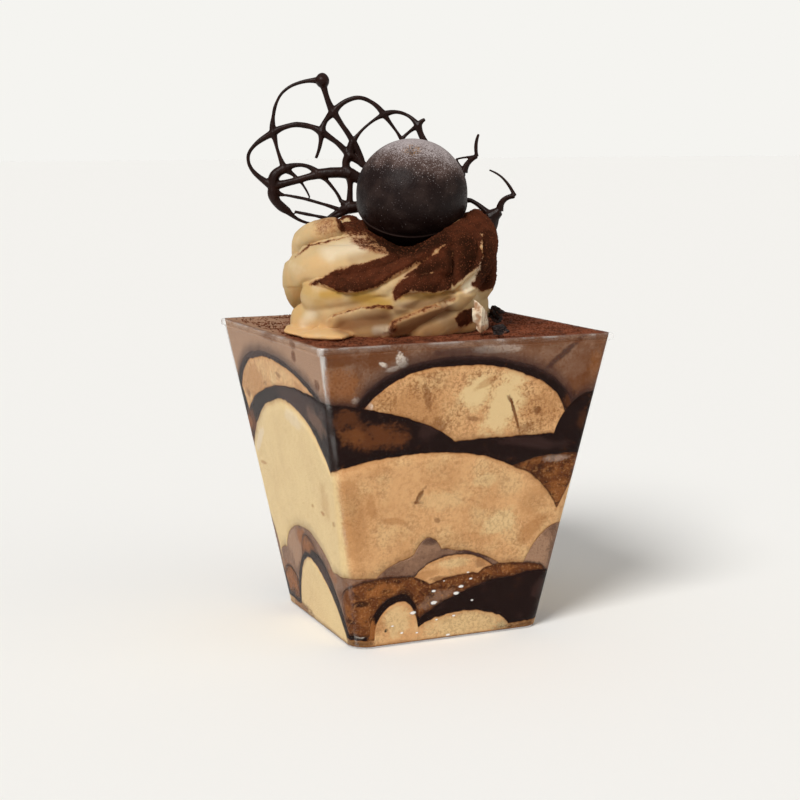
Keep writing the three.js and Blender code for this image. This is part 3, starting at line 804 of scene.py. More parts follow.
def layer_mesh(name, index, tops, places, inset, material):
    """One layer: a band on the wall, closed by slopes that run straight to the middle."""
    top = tops[index]
    bottom = tops[index - 1] if index else np.full(len(places), FILLING_FOOT)
    middle_top = LAYERS[index][1]
    middle_bottom = LAYERS[index - 1][1] if index else FILLING_FOOT
    count = len(places)
    shares = np.linspace(0, 1, WALL_ROWS + 1)[:, None]
    heights = bottom + (top - bottom) * shares
    wall = np.stack([square_points(places, outer_half(row) + inset, outer_corner(row) + inset, row)
                     for row in heights])
    points = [wall.reshape(-1, 3)]
    rings = [np.arange(count) + row * count for row in range(WALL_ROWS + 1)]
    if name == "cocoa_top":
        for share in np.linspace(1, 0, TOP_RINGS)[1:-1]:
            ring = wall[-1] * np.array([share, share, 1.0])
            edge = np.clip((1 - share) * 14, 0, 1)
            ring[:, 2] += edge * (0.26 * rough(ring, 2.6, 3) + 0.16 * noise(ring, 0.6))
            rings.append(np.arange(count) + sum(len(each) for each in points))
            points.append(ring)
    first = sum(len(each) for each in points)
    points.append(np.array([[0, 0, middle_bottom], [0, 0, middle_top]], float))
    points = np.concatenate(points)
    # Where the layer has ended, its rows share the points of the lowest one
    flat = top - bottom < LAYER_ENDS
    same = np.arange(len(points))
    for row in rings[1:WALL_ROWS + 1]:
        same[row[flat]] = rings[0][flat]
    following = np.roll(np.arange(count), -1)
    spot = places % 2
    next_spot = spot + (places[1] - places[0])
    triangles = []
    spots = []

    def add_triangles(corners, corner_spots):
        triangles.append(np.stack(corners, -1))
        spots.append(np.stack(corner_spots, -1))

    for lower, upper in zip(rings, rings[1:]):
        add_triangles([lower, lower[following], upper[following]], [spot, next_spot, next_spot])
        add_triangles([lower, upper[following], upper], [spot, next_spot, spot])
    add_triangles([rings[-1], rings[-1][following], np.full(count, first + 1)], [spot, next_spot, spot])
    add_triangles([rings[0][following], rings[0], np.full(count, first)], [next_spot, spot, spot])
    triangles = same[np.concatenate(triangles)]
    spots = np.concatenate(spots)
    a, b, c = triangles.T
    kept = (a != b) & (b != c) & (a != c)
    triangles, spots = triangles[kept], spots[kept]
    used = np.unique(triangles)
    renumbered = np.zeros(len(points), int)
    renumbered[used] = np.arange(len(used))
    piece = add_mesh(name + "_look", points[used], renumbered[triangles], material)
    low = np.zeros(len(points))
    high = np.zeros(len(points))
    for row in rings[:WALL_ROWS + 1]:
        low[row] = points[row, 2] - bottom
        high[row] = top - points[row, 2]
    corners = np.stack([spots.ravel(), low[triangles.ravel()], high[triangles.ravel()]], -1)
    store(piece, "wall", corners, "FLOAT_VECTOR", "CORNER")
    return piece


# Marks on the layers where they press on the wall: tone, strength, spot and height of the middle,
# half the width and half the height in millimetres, and the lean in degrees. A spot counts faces:
# 0 to 1 on the narrow left face, 1 to 2 on the front.
MARKS = {
    "cream_lower": [
        ("sponge", 0.85, 0.24, 1.2, 9, 1.6, 0), ("chocolate", 0.95, 1.86, 1.2, 7.5, 2.4, 0),
        ("tan", 0.5, 1.12, 5.5, 1.8, 3.0, 60), ("chocolate", 1.0, 1.165, 3.7, 0.6, 0.4, 20),
        ("chocolate", 0.95, 1.03, 0.9, 3.6, 1.7, 0), ("chocolate", 0.9, 0.96, 1.0, 3.0, 1.7, 0),
        ("pale", 0.65, 1.6, 2.8, 13, 3.0, 0), ("pale", 0.65, 1.22, 5.6, 3.4, 3.4, 0),
    ],
    "chocolate_lower": [
        ("shadow", 0.7, 0.7, 14, 5, 1.6, -20), ("sponge", 0.5, 1.3, 6.3, 2.5, 0.9, 25),
        ("golden", 0.95, 1.09, 4.5, 1.5, 3.6, 8), ("shadow", 0.5, 1.95, 9, 2, 2.5, 0),
        ("sponge", 0.8, 1.02, 8.8, 1.6, 0.7, 0), ("white", 0.5, 1.02, 2.9, 1.8, 0.5, 0),
    ],
    "sponge_lower": [
        ("golden", 0.9, 1.16, 12.6, 4.5, 1.6, 0), ("golden", 0.6, 1.06, 8, 2.0, 3.0, 0),
        ("chocolate", 0.8, 1.05, 10.2, 2.4, 0.7, 0), ("chocolate", 0.6, 1.27, 11.4, 2.4, 0.8, -15),
        ("mousse", 0.85, 1.42, 9.6, 5.0, 1.4, 16), ("chocolate", 0.5, 1.68, 12.4, 3.0, 0.9, 0),
        ("golden", 0.75, 0.17, 6.4, 4.5, 2.6, 10), ("shadow", 0.8, 0.08, 2.6, 5.0, 1.0, 0),
        ("golden", 0.7, 0.5, 18.3, 3.6, 1.9, -6), ("golden", 0.6, 1.76, 14.6, 2.0, 0.8, 0),
        ("golden", 0.6, 0.96, 8.5, 1.5, 2.0, 0), ("chocolate", 0.7, 0.97, 6.0, 1.5, 0.6, 0),
    ],
    "cream_pocket": [
        ("tan", 0.6, 1.36, 15.0, 3.5, 1.0, 10), ("pale", 0.6, 1.5, 17.0, 4.0, 1.0, 0),
        ("sponge", 0.6, 1.42, 13.8, 2.4, 0.6, 0), ("sponge", 0.5, 1.62, 16.4, 1.6, 0.9, -30),
    ],
    "mousse_lower": [
        ("mauve", 0.9, 0.33, 16.5, 5.5, 5.0, 30), ("golden", 0.85, 0.47, 19.2, 3.6, 2.0, 0),
        ("golden", 0.7, 0.17, 7.2, 4.8, 3.0, 0), ("shadow", 0.75, 0.68, 15.2, 5.0, 2.4, -18),
        ("sponge", 0.6, 0.6, 19.4, 3.0, 1.6, -20), ("shadow", 0.85, 1.64, 18.2, 9.5, 0.8, -13),
        ("mauve", 0.85, 1.9, 16.8, 4.0, 4.0, 0), ("sponge", 0.7, 1.12, 14.8, 7.0, 0.9, 3),
        ("mauve", 0.35, 1.34, 20.6, 5.0, 1.4, 12), ("shadow", 0.6, 1.38, 22.3, 2.0, 0.8, 0),
        ("golden", 0.5, 0.83, 14.6, 3.0, 1.4, 0), ("sponge", 0.7, 0.92, 11.5, 2.5, 1.6, 0),
    ],
    "cream_middle": [
        ("tan", 0.5, 1.04, 28, 4.0, 10.0, 0), ("tan", 0.55, 1.13, 31.5, 1.1, 3.4, 8),
        ("tan", 0.55, 1.22, 27.5, 2.6, 0.8, -12), ("sponge", 0.85, 1.327, 32.2, 0.5, 2.3, -32),
        ("sponge", 0.6, 1.318, 31.0, 1.4, 0.35, -8), ("sponge", 0.55, 1.405, 26.8, 0.9, 0.5, -30),
        ("tan", 0.6, 1.84, 22.5, 4.5, 1.8, 42), ("tan", 0.45, 1.83, 29.0, 3.0, 4.5, -35),
        ("pale", 0.6, 1.69, 25.0, 4.2, 2.6, 15), ("pale", 0.45, 1.6, 34.4, 2.5, 1.4, 0),
        ("pale", 0.3, 1.42, 31.0, 5.0, 2.0, 0), ("tan", 0.3, 1.5, 22.3, 6.0, 1.2, 0),
        ("white", 0.4, 0.14, 38.0, 5.5, 1.1, 36), ("tan", 0.6, 0.12, 32.4, 2.4, 0.45, 4),
        ("tan", 0.65, 0.69, 28.5, 0.9, 0.45, 0), ("tan", 0.75, 0.805, 28.1, 1.1, 0.4, 0),
        ("golden", 0.5, 0.925, 27.1, 1.0, 0.5, 12), ("pale", 0.8, 0.965, 24.0, 1.6, 14.0, 0),
        ("tan", 0.3, 0.85, 31.0, 2.4, 4.0, 0), ("white", 0.3, 0.62, 46.5, 5.0, 1.6, -6),
    ],
    "sponge_middle": [
        ("golden", 0.6, 1.93, 30, 2.8, 3.4, 20), ("chocolate", 0.5, 1.83, 35.5, 3.0, 1.2, -35),
        ("golden", 0.5, 1.88, 35.0, 2.0, 1.2, 0), ("white", 0.25, 1.89, 37.9, 3.0, 0.8, 0),
    ],
    "chocolate_middle": [
        ("sponge", 0.8, 1.16, 45.6, 6.8, 2.6, -3), ("golden", 0.2, 1.07, 46.0, 2.8, 1.6, 0),
        ("sponge", 0.6, 1.06, 49.5, 2.6, 2.0, 0), ("shadow", 0.75, 0.72, 50.6, 13.0, 2.6, -6),
        ("mousse", 0.45, 0.87, 48.0, 4.6, 2.0, -18), ("sponge", 0.8, 0.08, 41.4, 4.2, 2.6, 32),
        ("golden", 0.6, 0.05, 41.0, 1.8, 1.4, 30), ("sponge", 0.3, 1.97, 46.0, 1.4, 2.0, 0),
        ("shadow", 0.45, 1.78, 41.8, 7.0, 1.2, -8), ("shadow", 0.4, 1.36, 46.5, 2.0, 2.5, -40),
    ],
    "cream_upper": [
        ("tan", 0.6, 0.22, 51.5, 9.0, 4.0, 12), ("pale", 0.6, 0.455, 53.2, 1.0, 2.4, 0),
        ("pale", 0.4, 0.49, 54.5, 0.7, 1.6, 0), ("sponge", 0.5, 0.12, 48.0, 1.6, 0.8, 0),
        ("sponge", 0.55, 0.53, 55.2, 1.5, 0.6, -10), ("sponge", 0.4, 0.36, 52.0, 1.0, 0.5, 0),
        ("tan", 0.6, 0.74, 54.0, 3.4, 0.9, -14), ("tan", 0.55, 1.3, 49.5, 7.5, 5.4, -20),
        ("tan", 0.5, 1.8, 48.6, 4.0, 3.6, 0), ("sponge", 0.75, 1.775, 48.6, 1.2, 0.8, 0),
        ("sponge", 0.9, 1.69, 48.0, 0.32, 4.4, 22), ("sponge", 0.7, 1.665, 51.0, 0.3, 1.3, 34),
        ("sponge", 0.5, 1.355, 53.0, 0.6, 2.6, 10), ("sponge", 0.45, 1.4, 47.0, 1.4, 1.8, 0),
        ("sponge", 0.55, 1.53, 47.8, 1.5, 0.5, -14), ("sponge", 0.5, 1.74, 45.2, 1.6, 1.0, 15),
        ("white", 0.7, 1.14, 51.6, 1.0, 1.4, 30), ("tan", 0.5, 1.57, 55.2, 2.6, 0.7, 30),
    ],
    "chocolate_upper": [
        ("shadow", 0.6, 0.3, 57.5, 12.0, 1.2, 8), ("shadow", 0.5, 0.86, 55.5, 5.0, 0.8, -22),
        ("sponge", 0.5, 1.9, 50.0, 1.4, 2.5, 0), ("sponge", 0.35, 1.12, 50.3, 2.0, 1.5, 0),
    ],
    "mousse_upper": [
        ("golden", 0.6, 1.05, 56.0, 3.4, 4.2, 0), ("sponge", 0.75, 1.2, 61.4, 5.0, 1.7, 12),
        ("sponge", 0.8, 1.05, 61.6, 3.6, 1.4, 0), ("shadow", 0.6, 1.04, 51.4, 3.0, 1.6, 0),
        ("white", 0.85, 1.262, 60.4, 1.0, 1.7, 20), ("white", 0.8, 1.2, 60.2, 0.8, 0.5, -25),
        ("white", 0.7, 1.235, 59.2, 1.4, 0.5, 20), ("white", 0.45, 1.1, 53.2, 0.9, 0.8, 0),
        ("shadow", 0.8, 1.84, 60.3, 5.0, 0.75, 46), ("sponge", 0.8, 1.92, 54.0, 3.4, 6.0, 0),
        ("mousse", 0.5, 1.9, 57, 2.0, 2.0, 0), ("chocolate", 0.85, 1.9, 48.0, 3.4, 3.4, 0),
        ("sponge", 0.65, 1.76, 62.8, 9.0, 0.8, 0),
        ("shadow", 0.5, 1.47, 62.0, 6.0, 0.7, 0), ("sponge", 0.6, 0.5, 63.0, 5.0, 0.9, 0),
        ("sponge", 0.85, 0.73, 60.4, 1.1, 1.3, 0), ("sponge", 0.7, 0.735, 62.9, 1.6, 0.8, 0),
        ("sponge", 0.8, 0.925, 56.0, 1.2, 1.1, 0), ("sponge", 0.6, 0.84, 54.2, 2.2, 0.8, -15),
        ("white", 0.3, 1.6, 62.0, 5.0, 0.9, 0), ("golden", 0.4, 1.97, 57.5, 1.5, 3.0, 0),
    ],
}
FACE_WIDTH = 54.0


class WallLook(Look):
    """A look that knows where on the wall it is: its `spot`, and the distances `low` and `high` to
    the layer's edges."""

    def __init__(self, name, settings, tone):
        super().__init__(name.replace("_", " "), settings, tone)
        self.spot, self.low, self.high = self.parts(self.attribute("wall", "Vector"))
        self.height = self.parts(self.place)[2]
        self.coarse = self.noise(2.4, 4, 0.3) - 0.5
        self.fine = self.noise(0.5) - 0.5
        self.front = self.step(self.spot, 0.97, 1.03)

    def patch(self, spot, height, wide, tall, lean):
        """A ragged patch on the wall, as the table of marks gives it."""
        turn = math.radians(lean)
        sideways = (self.spot - spot) * FACE_WIDTH
        upward = self.height - height
        along = sideways * (math.cos(turn) / wide) + upward * (math.sin(turn) / wide)
        across = upward * (math.cos(turn) / tall) - sideways * (math.sin(turn) / tall)
        reach = (along * along + across * across) ** 0.5
        return self.step(reach + self.coarse * 1.5 + self.fine * 1.1, 1.3, 0.6)

    def lay_marks(self, layer):
        for tone, strength, *place in MARKS[layer]:
            self.lay(self.patch(*place) * strength, tone)

    def lay_edge(self, distance, reach, strength, tone, ragged=1.0):
        """A tone within `reach` millimetres of a layer's edge, with a ragged border."""
        away = distance + self.coarse * (reach * ragged) + self.fine * (0.5 * ragged)
        self.lay(self.step(away, reach, 0.0) * strength, tone)

    def pressed(self, deep):
        """The finished surface, seen through the cup's wall that it is pressed against."""
        return self.surface(Roughness=0.45, Specular_IOR_Level=0.02, Coat_Weight=0.07, Coat_Roughness=0.08,
                            Coat_IOR=1.45, Normal=self.bump(self.fine, deep))


def cream_look(name, settings):
    """Set cream: blotched and flecked with coffee, stained where it meets the next layer. The upper
    dollop is darker at the narrow face and more flecked, but for two smooth smears."""
    look = WallLook(name, settings, "cream")
    upper = name == "cream_upper"
    # Painted light: the narrow face is made paler than the front, for the light that falls more on it
    look.lay((1 - look.front) * (0.2 if upper else 1.0), "pale")
    on_front = look.front * 0.7 + 0.3
    look.lay(look.blotches(9.0, 0.4, 0.72) * 0.35 * on_front, "tan")
    look.lay(look.blotches(6.0, 0.42, 0.75) * 0.4, "pale")
    look.lay(look.blotches(1.2, 0.46, 0.7, 5, 0, 0.65) * 0.4 * on_front, "tan")
    flecked = look.blotches(6.0, 0.3, 0.62, 3, 0.6) * on_front
    if upper:
        smooth = look.patch(1.64, 50.6, 3.6, 7.4, -16).most(look.patch(1.53, 52.8, 3.2, 3.6, 0))
        flecked = (0.35 + flecked * 0.65) * (1 - smooth)
        look.lay(smooth * 0.8, "pale")
    look.lay_marks(name)
    fleck = tuple((a + b) / 2 for a, b in zip(settings.golden, settings.sponge))
    look.lay(look.specks(0.7, 0.44, 0.62) * flecked * (0.62 if upper else 0.3), fleck)
    look.lay(look.specks(0.4, 0.52, 0.66) * flecked * (0.55 if upper else 0.28), fleck)
    look.lay_edge(look.high, 1.3, 0.5, "tan")
    look.lay_edge(look.low, 0.9, 0.5, "tan")
    look.lay_edge(look.high.least(look.low), 0.3, 0.8, "sponge", 0.7)
    return look.pressed(0.12)


def chocolate_look(name, settings):
    """Chocolate sauce: almost black, red-brown where crumb shows through. The upper one thins out."""
    look = WallLook(name, settings, "chocolate")
    look.lay(look.blotches(2.2, 0.58, 0.8, 4, 0.5) * 0.35, "shadow")
    look.lay_marks(name)
    look.lay(look.specks(0.7, 0.55, 0.66) * look.blotches(5.0, 0.56, 0.7, 2) * 0.5, "sponge")
    look.lay(look.specks(1.3, 0.6, 0.68) * 0.7, "chocolate")
    look.lay(look.specks(0.35, 0.7, 0.76) * look.blotches(7.0, 0.5, 0.62, 2) * 0.6, "tan")
    if name == "chocolate_upper":
        look.lay_edge(look.high, 0.9, 0.6, "shadow", 0.6)
    return look.pressed(0.08)


def sponge_look(name, settings):
    """Soaked sponge: torn brown crumb from golden to almost black."""
    look = WallLook(name, settings, "sponge")
    look.lay(look.blotches(2.6, 0.52, 0.7, 5, 0.9) * 0.6, "golden")
    look.lay_marks(name)
    torn = look.blotches(2.2, 0.48, 0.68, 5, 0.5, 0.65, look.stretched(1, 1, 1.5))
    look.lay(torn * 0.7, "chocolate")
    look.lay(look.specks(0.55, 0.56, 0.64) * 0.5, "tan")
    look.lay(look.specks(0.4, 0.6, 0.68) * 0.6, "chocolate")
    look.lay(look.specks(0.3, 0.72, 0.78) * 0.6, "pale")
    look.lay_edge(look.high.least(look.low), 0.8, 0.6, "chocolate")
    return look.pressed(0.2)


def lay_mousse(look):
    """Coffee mousse: grey-brown and cloudy, with a fine grain and brown marks."""
    # Painted glare: the narrow face is made paler and mauve, and takes less brown than the front
    look.lay(1 - look.front, "mauve")
    look.lay(look.blotches(7.0, 0.42, 0.68, 4, 0.4) * 0.5 * look.front, "sponge")
    look.lay(look.blotches(2.0, 0.48, 0.7, 5, 0.3) * 0.45 * (0.3 + look.front * 0.7), "sponge")
    look.lay(look.blotches(1.1, 0.54, 0.7, 4) * 0.25, "mauve")
    look.lay_marks("mousse_upper")
    look.lay(look.specks(0.45, 0.52, 0.64) * 0.55 * (0.25 + look.front * 0.75), "sponge")
    look.lay(look.specks(0.3, 0.62, 0.72) * 0.4, "mauve")


def mousse_look(name, settings):
    look = WallLook(name, settings, "mousse")
    if name == "mousse_upper":
        lay_mousse(look)
        look.lay_edge(look.low, 3.2, 0.75, "shadow", 0.5)
    else:
        look.lay(look.blotches(4.0, 0.45, 0.7, 4, 0.8) * 0.5, "shadow")
        look.lay(look.blotches(1.4, 0.52, 0.7, 4) * 0.3, "mauve")
        look.lay_marks(name)
        look.lay(look.specks(0.45, 0.56, 0.66) * 0.35, "shadow")
        look.lay_edge(look.low, 0.7, 0.6, "shadow")
    look.lay_edge(look.low, 0.4, 0.6, "chocolate")
    return look.pressed(0.15)


def lay_cocoa(look):
    """Cocoa powder: matt and red-brown, darker where it is damp, with lighter dry grains."""
    look.lay(look.blotches(2.6, 0.42, 0.68, 4) * 0.8, "cocoa", 0.42)
    look.lay(look.blotches(0.8, 0.52, 0.7, 4) * 0.6, "cocoa", 1.7)
    look.lay(look.blotches(0.32, 0.6, 0.72) * 0.6, "cocoa", 2.8)


def cocoa_look(_, settings):
    """The powder on top, thin at the left, and at the wall the mousse that it lies on."""
    look = WallLook("cocoa powder", settings, "mousse")
    lay_mousse(look)
    look.lay_edge(look.high, 0.5, 0.7, "sponge")
    at_wall = look.tone
    look.tone = look.colour_of("cocoa", 1.6)
    lay_cocoa(look)
    x, y, _ = look.parts(look.place)
    across = x * float(ACROSS[0]) + y * float(ACROSS[1]) + look.noise(3.0) * 6
    look.lay(look.step(across, -19.0, -26.0) * look.blotches(0.6, 0.74, 0.54, 4) * 0.9, "mauve")
    look.tone = look.mix(look.step(look.low + look.high, 0.3, 1.0), look.tone, at_wall)
    return look.surface(Roughness=0.8, Specular_IOR_Level=0.15, Normal=look.bump(look.noise(0.35, 4), 0.3))


def crumb_look(settings):
    look = Look("cocoa crumbs", settings, "cocoa")
    lay_cocoa(look)
    return look.surface(Roughness=0.9, Specular_IOR_Level=0.1)


FILLING_LOOKS = {"cream": cream_look, "chocolate": chocolate_look, "sponge": sponge_look,
                 "mousse": mousse_look, "cocoa": cocoa_look}


def make_filling(settings):
    """The twelve layers, each from wall to middle."""
    places = np.linspace(0, 4, 1000, endpoint=False)
    tops = layer_tops(places, settings.wobble / MM)
    inset = settings.into_wall / MM - CUP_WALL
    for index, (name, *_) in enumerate(LAYERS):
        look = FILLING_LOOKS[name.split("_")[0]]
        piece = layer_mesh(name, index, tops, places, inset, look(name, settings))
        dress(piece, name, name)


# Swirl of cream

SWIRL_BASE = FILL_LEVEL + 0.6
SWIRL_LOWEST = (-math.inf, -math.inf, SWIRL_BASE - 0.75)
SWIRL_RADIUS = 22.8
SWIRL_LEAN = -5
SWIRL_BEHIND = -2.8
SWIRL_SHOULDER = 9
CORE_SUNK = 0.8
LOBE_DEPTH = 3.5
CORE_INSET = 2.9
CREST_SHARE = 0.6
SWEEP_SHARE = 0.13
NOSE_BLUNT = 0.12
NOSE_GROWTH = 7
TAIL_START = 0.96
TAIL_LENGTH = 0.042
LOBE_SIDES = 28
LEFT_REACH = -24.0
LEFT_SQUEEZE = 0.42
APRON_MIDDLE = (-23.7, -8.0, SWIRL_BASE)
APRON_HALF = (7.3, 13, 0.9)

# Lobes of the swirl: azimuth at the crest share of the height, where the lobe starts and ends,
# its half-width, and how far it climbs and sweeps round, in degrees.
LOBES = [
    (-112, 0.3, 0.93, 4.7, 143, 0),
    (-58, 0.2, 0.93, 5.0, 143, 0),
    (-12, 0.28, 0.93, 4.2, 148, 0),
    (15, 0.04, 0.9, 4.1, 60, 86),
    (36, 0.03, 0.9, 3.8, 42, 60),
    (60, 0.32, 0.93, 4.2, 100, 0),
    (97, 0.03, 0.93, 4.0, 60, 62),
    (124, 0.03, 0.93, 3.9, 60, 62),
    (152, 0.04, 0.93, 4.0, 60, 62),
    (180, 0.04, 0.93, 4.0, 60, 62),
    (208, 0.04, 0.93, 4.0, 60, 62),
    (234, 0.04, 0.6, 3.8, 60, 62),
    (275, 0.04, 0.3, 3.6, 60, 62),
]

# Where cocoa lies on the front of the swirl, in the viewer's plane: how thickly, and an outline of
# (across, height) points
COCOA_FIELDS = [
    (1.0, [(-21.2, 72.8), (-15.8, 75.8), (-9.6, 77.5), (-3.1, 79.4), (8.3, 82.0), (4.9, 78.9), (-2.2, 75.1),
           (-7.1, 72.3), (-11.4, 71.1), (-15.1, 71.4), (-18.9, 73.0)]),
    (1.0, [(-9.0, 84.1), (-1.0, 84.6), (11.4, 86.1), (9.2, 81.5), (5.2, 80.6), (-3.1, 78.9), (-6.5, 81.5)]),
    (1.0, [(-3.3, 71.1), (-1.9, 73.8), (2.1, 75.0), (5.5, 75.4), (9.4, 74.1), (9.4, 71.5), (5.8, 71.1),
           (0.9, 71.3), (-1.0, 70.9), (-2.8, 69.4)]),
    (1.0, [(-1.0, 74.3), (2.4, 76.9), (6.1, 79.4), (8.3, 81.8), (12.6, 84.9), (9.8, 80.9), (9.1, 75.4),
           (5.2, 75.2)]),
    (1.0, [(8.8, 74.1), (9.5, 80.6), (12.8, 84.6), (15.7, 83.5), (15.7, 77.7), (14.5, 76.1), (12.3, 74.3),
           (9.5, 71.9)]),
    (1.0, [(11.0, 91.5), (15.4, 90.0), (18.0, 87.0), (20.0, 84.0), (21.0, 80.0), (20.4, 75.0), (18.0, 71.8),
           (16.0, 71.1), (13.7, 72.6), (15.2, 75.4), (15.9, 77.8), (15.9, 83.4), (11.4, 84.6)]),
    (0.9, [(-15.6, 88.5), (-11.1, 90.5), (-6.4, 89.0), (-6.4, 83.5), (-12.1, 83.3), (-15.2, 84.1)]),
    (0.5, [(-21.1, 87.7), (-15.1, 89.5), (-13.5, 83.7), (-17.0, 82.5), (-20.2, 82.9)]),
    (0.72, [(-13.1, 83.2), (-5.5, 84.5), (-2.4, 81.0), (-4.6, 78.5), (-9.5, 79.6), (-12.4, 81.4)]),
    (1.0, [(8.0, 80.6), (7.6, 84.0), (14.2, 88.0), (15.4, 83.0), (11.0, 79.6)]),
    (1.0, [(4.6, 74.0), (6.0, 77.4), (10.6, 77.4), (10.4, 73.4), (8.5, 73.0)]),
    (1.0, [(9.8, 65.4), (12.0, 67.1), (14.0, 67.7), (14.0, 64.8), (11.1, 63.5)]),
    (0.75, [(-3.9, 65.1), (-2.2, 64.6), (-2.5, 62.8), (-3.6, 61.1), (-5.3, 62.2)]),
]

# Creases that hold a thin line of cocoa: half its width in millimetres, and its points
COCOA_CREASES = [
    (0.06, [(-24.1, 78.8), (-21.0, 81.2), (-17.9, 81.9), (-14.8, 82.6), (-11.4, 83.4), (-7.1, 83.7)]),
    (0.0, [(-16.2, 66.1), (-13.3, 66.9), (-9.6, 67.8)]),
    (0.12, [(-9.6, 67.8), (-6.5, 68.1), (-3.7, 67.8)]),
    (0.12, [(-3.4, 64.6), (0.6, 66.2), (5.2, 67.9), (10.0, 69.4)]),
]

# Folds where one lobe overlaps the next, in the same plane. The left side of each line stands
# proud by the given height, and the other side is sunk.
FOLDS = [
    (0.75, [(-7.1, 83.7), (-11.4, 83.4), (-14.8, 82.6), (-17.9, 81.9), (-21.0, 81.2), (-24.1, 78.8)]),
    (0.7, [(-3.7, 67.8), (-6.5, 68.1), (-9.6, 67.8), (-13.3, 66.9), (-16.2, 66.1), (-18.4, 64.6)]),
    (0.7, [(11.0, 70.0), (5.2, 67.9), (0.6, 66.2), (-3.4, 64.6), (-5.0, 62.4)]),
    (0.8, [(-21.2, 72.8), (-18.9, 73.0), (-15.1, 71.4), (-11.4, 71.1), (-7.1, 72.3), (-2.2, 75.1),
           (5.4, 79.2)]),
    (0.7, [(-3.3, 70.6), (1.0, 71.0), (5.8, 70.9), (9.5, 71.4), (12.3, 73.6), (15.0, 76.0),
           (15.9, 79.0), (15.9, 84.0)]),
    (0.5, [(5.4, 75.2), (9.0, 75.0), (9.2, 80.4)]),
    (0.5, [(15.5, 73.0), (12.0, 71.2), (6.1, 70.2)]),
]

# Painted shade and painted highlights on the swirl, in the same plane: tint attribute, strength, half the
# width and the line along which it lies
PAINTED_LIGHT = [
    ("olive", 0.9, 1.3, [(-18.6, 70.6), (-15.2, 70.9)]),
    ("olive", 1.0, 1.6, [(-11.0, 70.2), (-6.5, 69.4), (-4.8, 68.6)]),
    ("olive", 0.7, 0.9, [(-1.2, 70.0), (3.6, 70.2), (8.0, 70.6)]),
    ("olive", 0.5, 1.6, [(-22.0, 72.0), (-19.0, 69.5)]),
    ("olive", 0.3, 2.4, [(-27.5, 73.0), (-26.0, 69.5), (-24.0, 67.0)]),
    ("umber", 1.0, 1.9, [(-14.0, 64.0), (-9.0, 64.8), (-5.0, 65.8)]),
    ("umber", 0.35, 1.3, [(-12.0, 78.3), (-5.0, 80.0)]),
    ("umber", 1.0, 1.7, [(-2.6, 63.0), (3.0, 65.0), (8.0, 67.0)]),
    ("umber", 0.65, 1.1, [(-2.6, 67.2), (4.0, 69.2), (9.0, 70.4)]),
    ("umber", 0.4, 1.6, [(-1.6, 72.4), (2.0, 69.2)]),
    ("umber", 0.6, 1.3, [(4.0, 62.6), (9.5, 64.6)]),
    ("umber", 0.4, 1.2, [(-2.4, 74.8), (2.0, 77.2), (7.0, 80.4)]),
    ("umber", 0.3, 1.0, [(-20.5, 66.8), (-17.4, 65.0)]),
    ("shade", 1.0, 1.6, [(-6.5, 81.4), (0.0, 80.0), (7.5, 82.6)]),
    ("shade", 0.9, 2.4, [(13.4, 75.6), (12.6, 81.5)]),
    ("shade", 0.85, 1.2, [(9.0, 73.0), (9.2, 79.6)]),
    ("shade", 0.7, 1.2, [(0.0, 71.6), (6.0, 71.8)]),
    ("shade", 0.75, 1.4, [(2.0, 75.8), (8.0, 77.2)]),
    ("shade", 0.75, 1.4, [(16.6, 74.0), (17.0, 78.0), (16.8, 83.0)]),
    ("shade", 0.5, 1.0, [(-15.0, 72.0), (-8.0, 72.6)]),
    ("glow", 0.9, 1.0, [(12.6, 71.9), (15.0, 74.2), (15.8, 77.4)]),
    ("glow", 0.7, 1.0, [(-7.0, 62.6), (-4.4, 62.8)]),
    ("glow", 0.5, 1.8, [(-17.0, 79.6), (-10.0, 81.4)]),
    ("glow", 0.5, 1.2, [(-22.6, 64.6), (-21.0, 66.4)]),
]


def swirl_top(azimuth):
    """The swirl's top dips in front, where the truffle rests on it."""
    return 90.9 + 0.6 * np.sin(azimuth) - 8 * np.clip(np.cos(azimuth), 0, None) ** 2.5


def swirl_points(azimuth, share, inset):
    """Points `inset` below the swirl's outer form, at a share of its height."""
    full = np.sqrt(np.clip(1 - share ** SWIRL_SHOULDER, 0, None))
    foot = 1.5 * (1 - share) ** 4
    waist = (0.6 + 1.2 * np.sin(azimuth) ** 2) * np.exp(-(((share - 0.27) / 0.08) ** 2))
    radius = (SWIRL_RADIUS - inset - foot - waist) * full
    lean = SWIRL_LEAN + 4.6 * share ** 2
    height = SWIRL_BASE + share * (swirl_top(azimuth) - inset - SWIRL_BASE)
    return seen(lean + radius * np.sin(azimuth), SWIRL_BEHIND - radius * np.cos(azimuth), height)


def swirl_core():
    shares = (0.0, 0.03, 0.07, 0.13, 0.2, 0.27, 0.34, 0.41, 0.48, 0.56, 0.64, 0.72, 0.8, 0.88, 0.95)
    steps = 72
    azimuths = np.linspace(0, 2 * math.pi, steps, endpoint=False)
    rings = [swirl_points(azimuths, np.full(steps, share), CORE_INSET) for share in shares]
    sunk = rings[0] - np.array([0, 0, CORE_SUNK])
    below = seen(SWIRL_LEAN, SWIRL_BEHIND, SWIRL_BASE - CORE_SUNK)
    points = np.concatenate([[below], sunk, *rings, [seen(0, SWIRL_BEHIND, 82)]])
    return add_mesh("swirl_core", points, ring_faces(len(rings) + 1, steps))


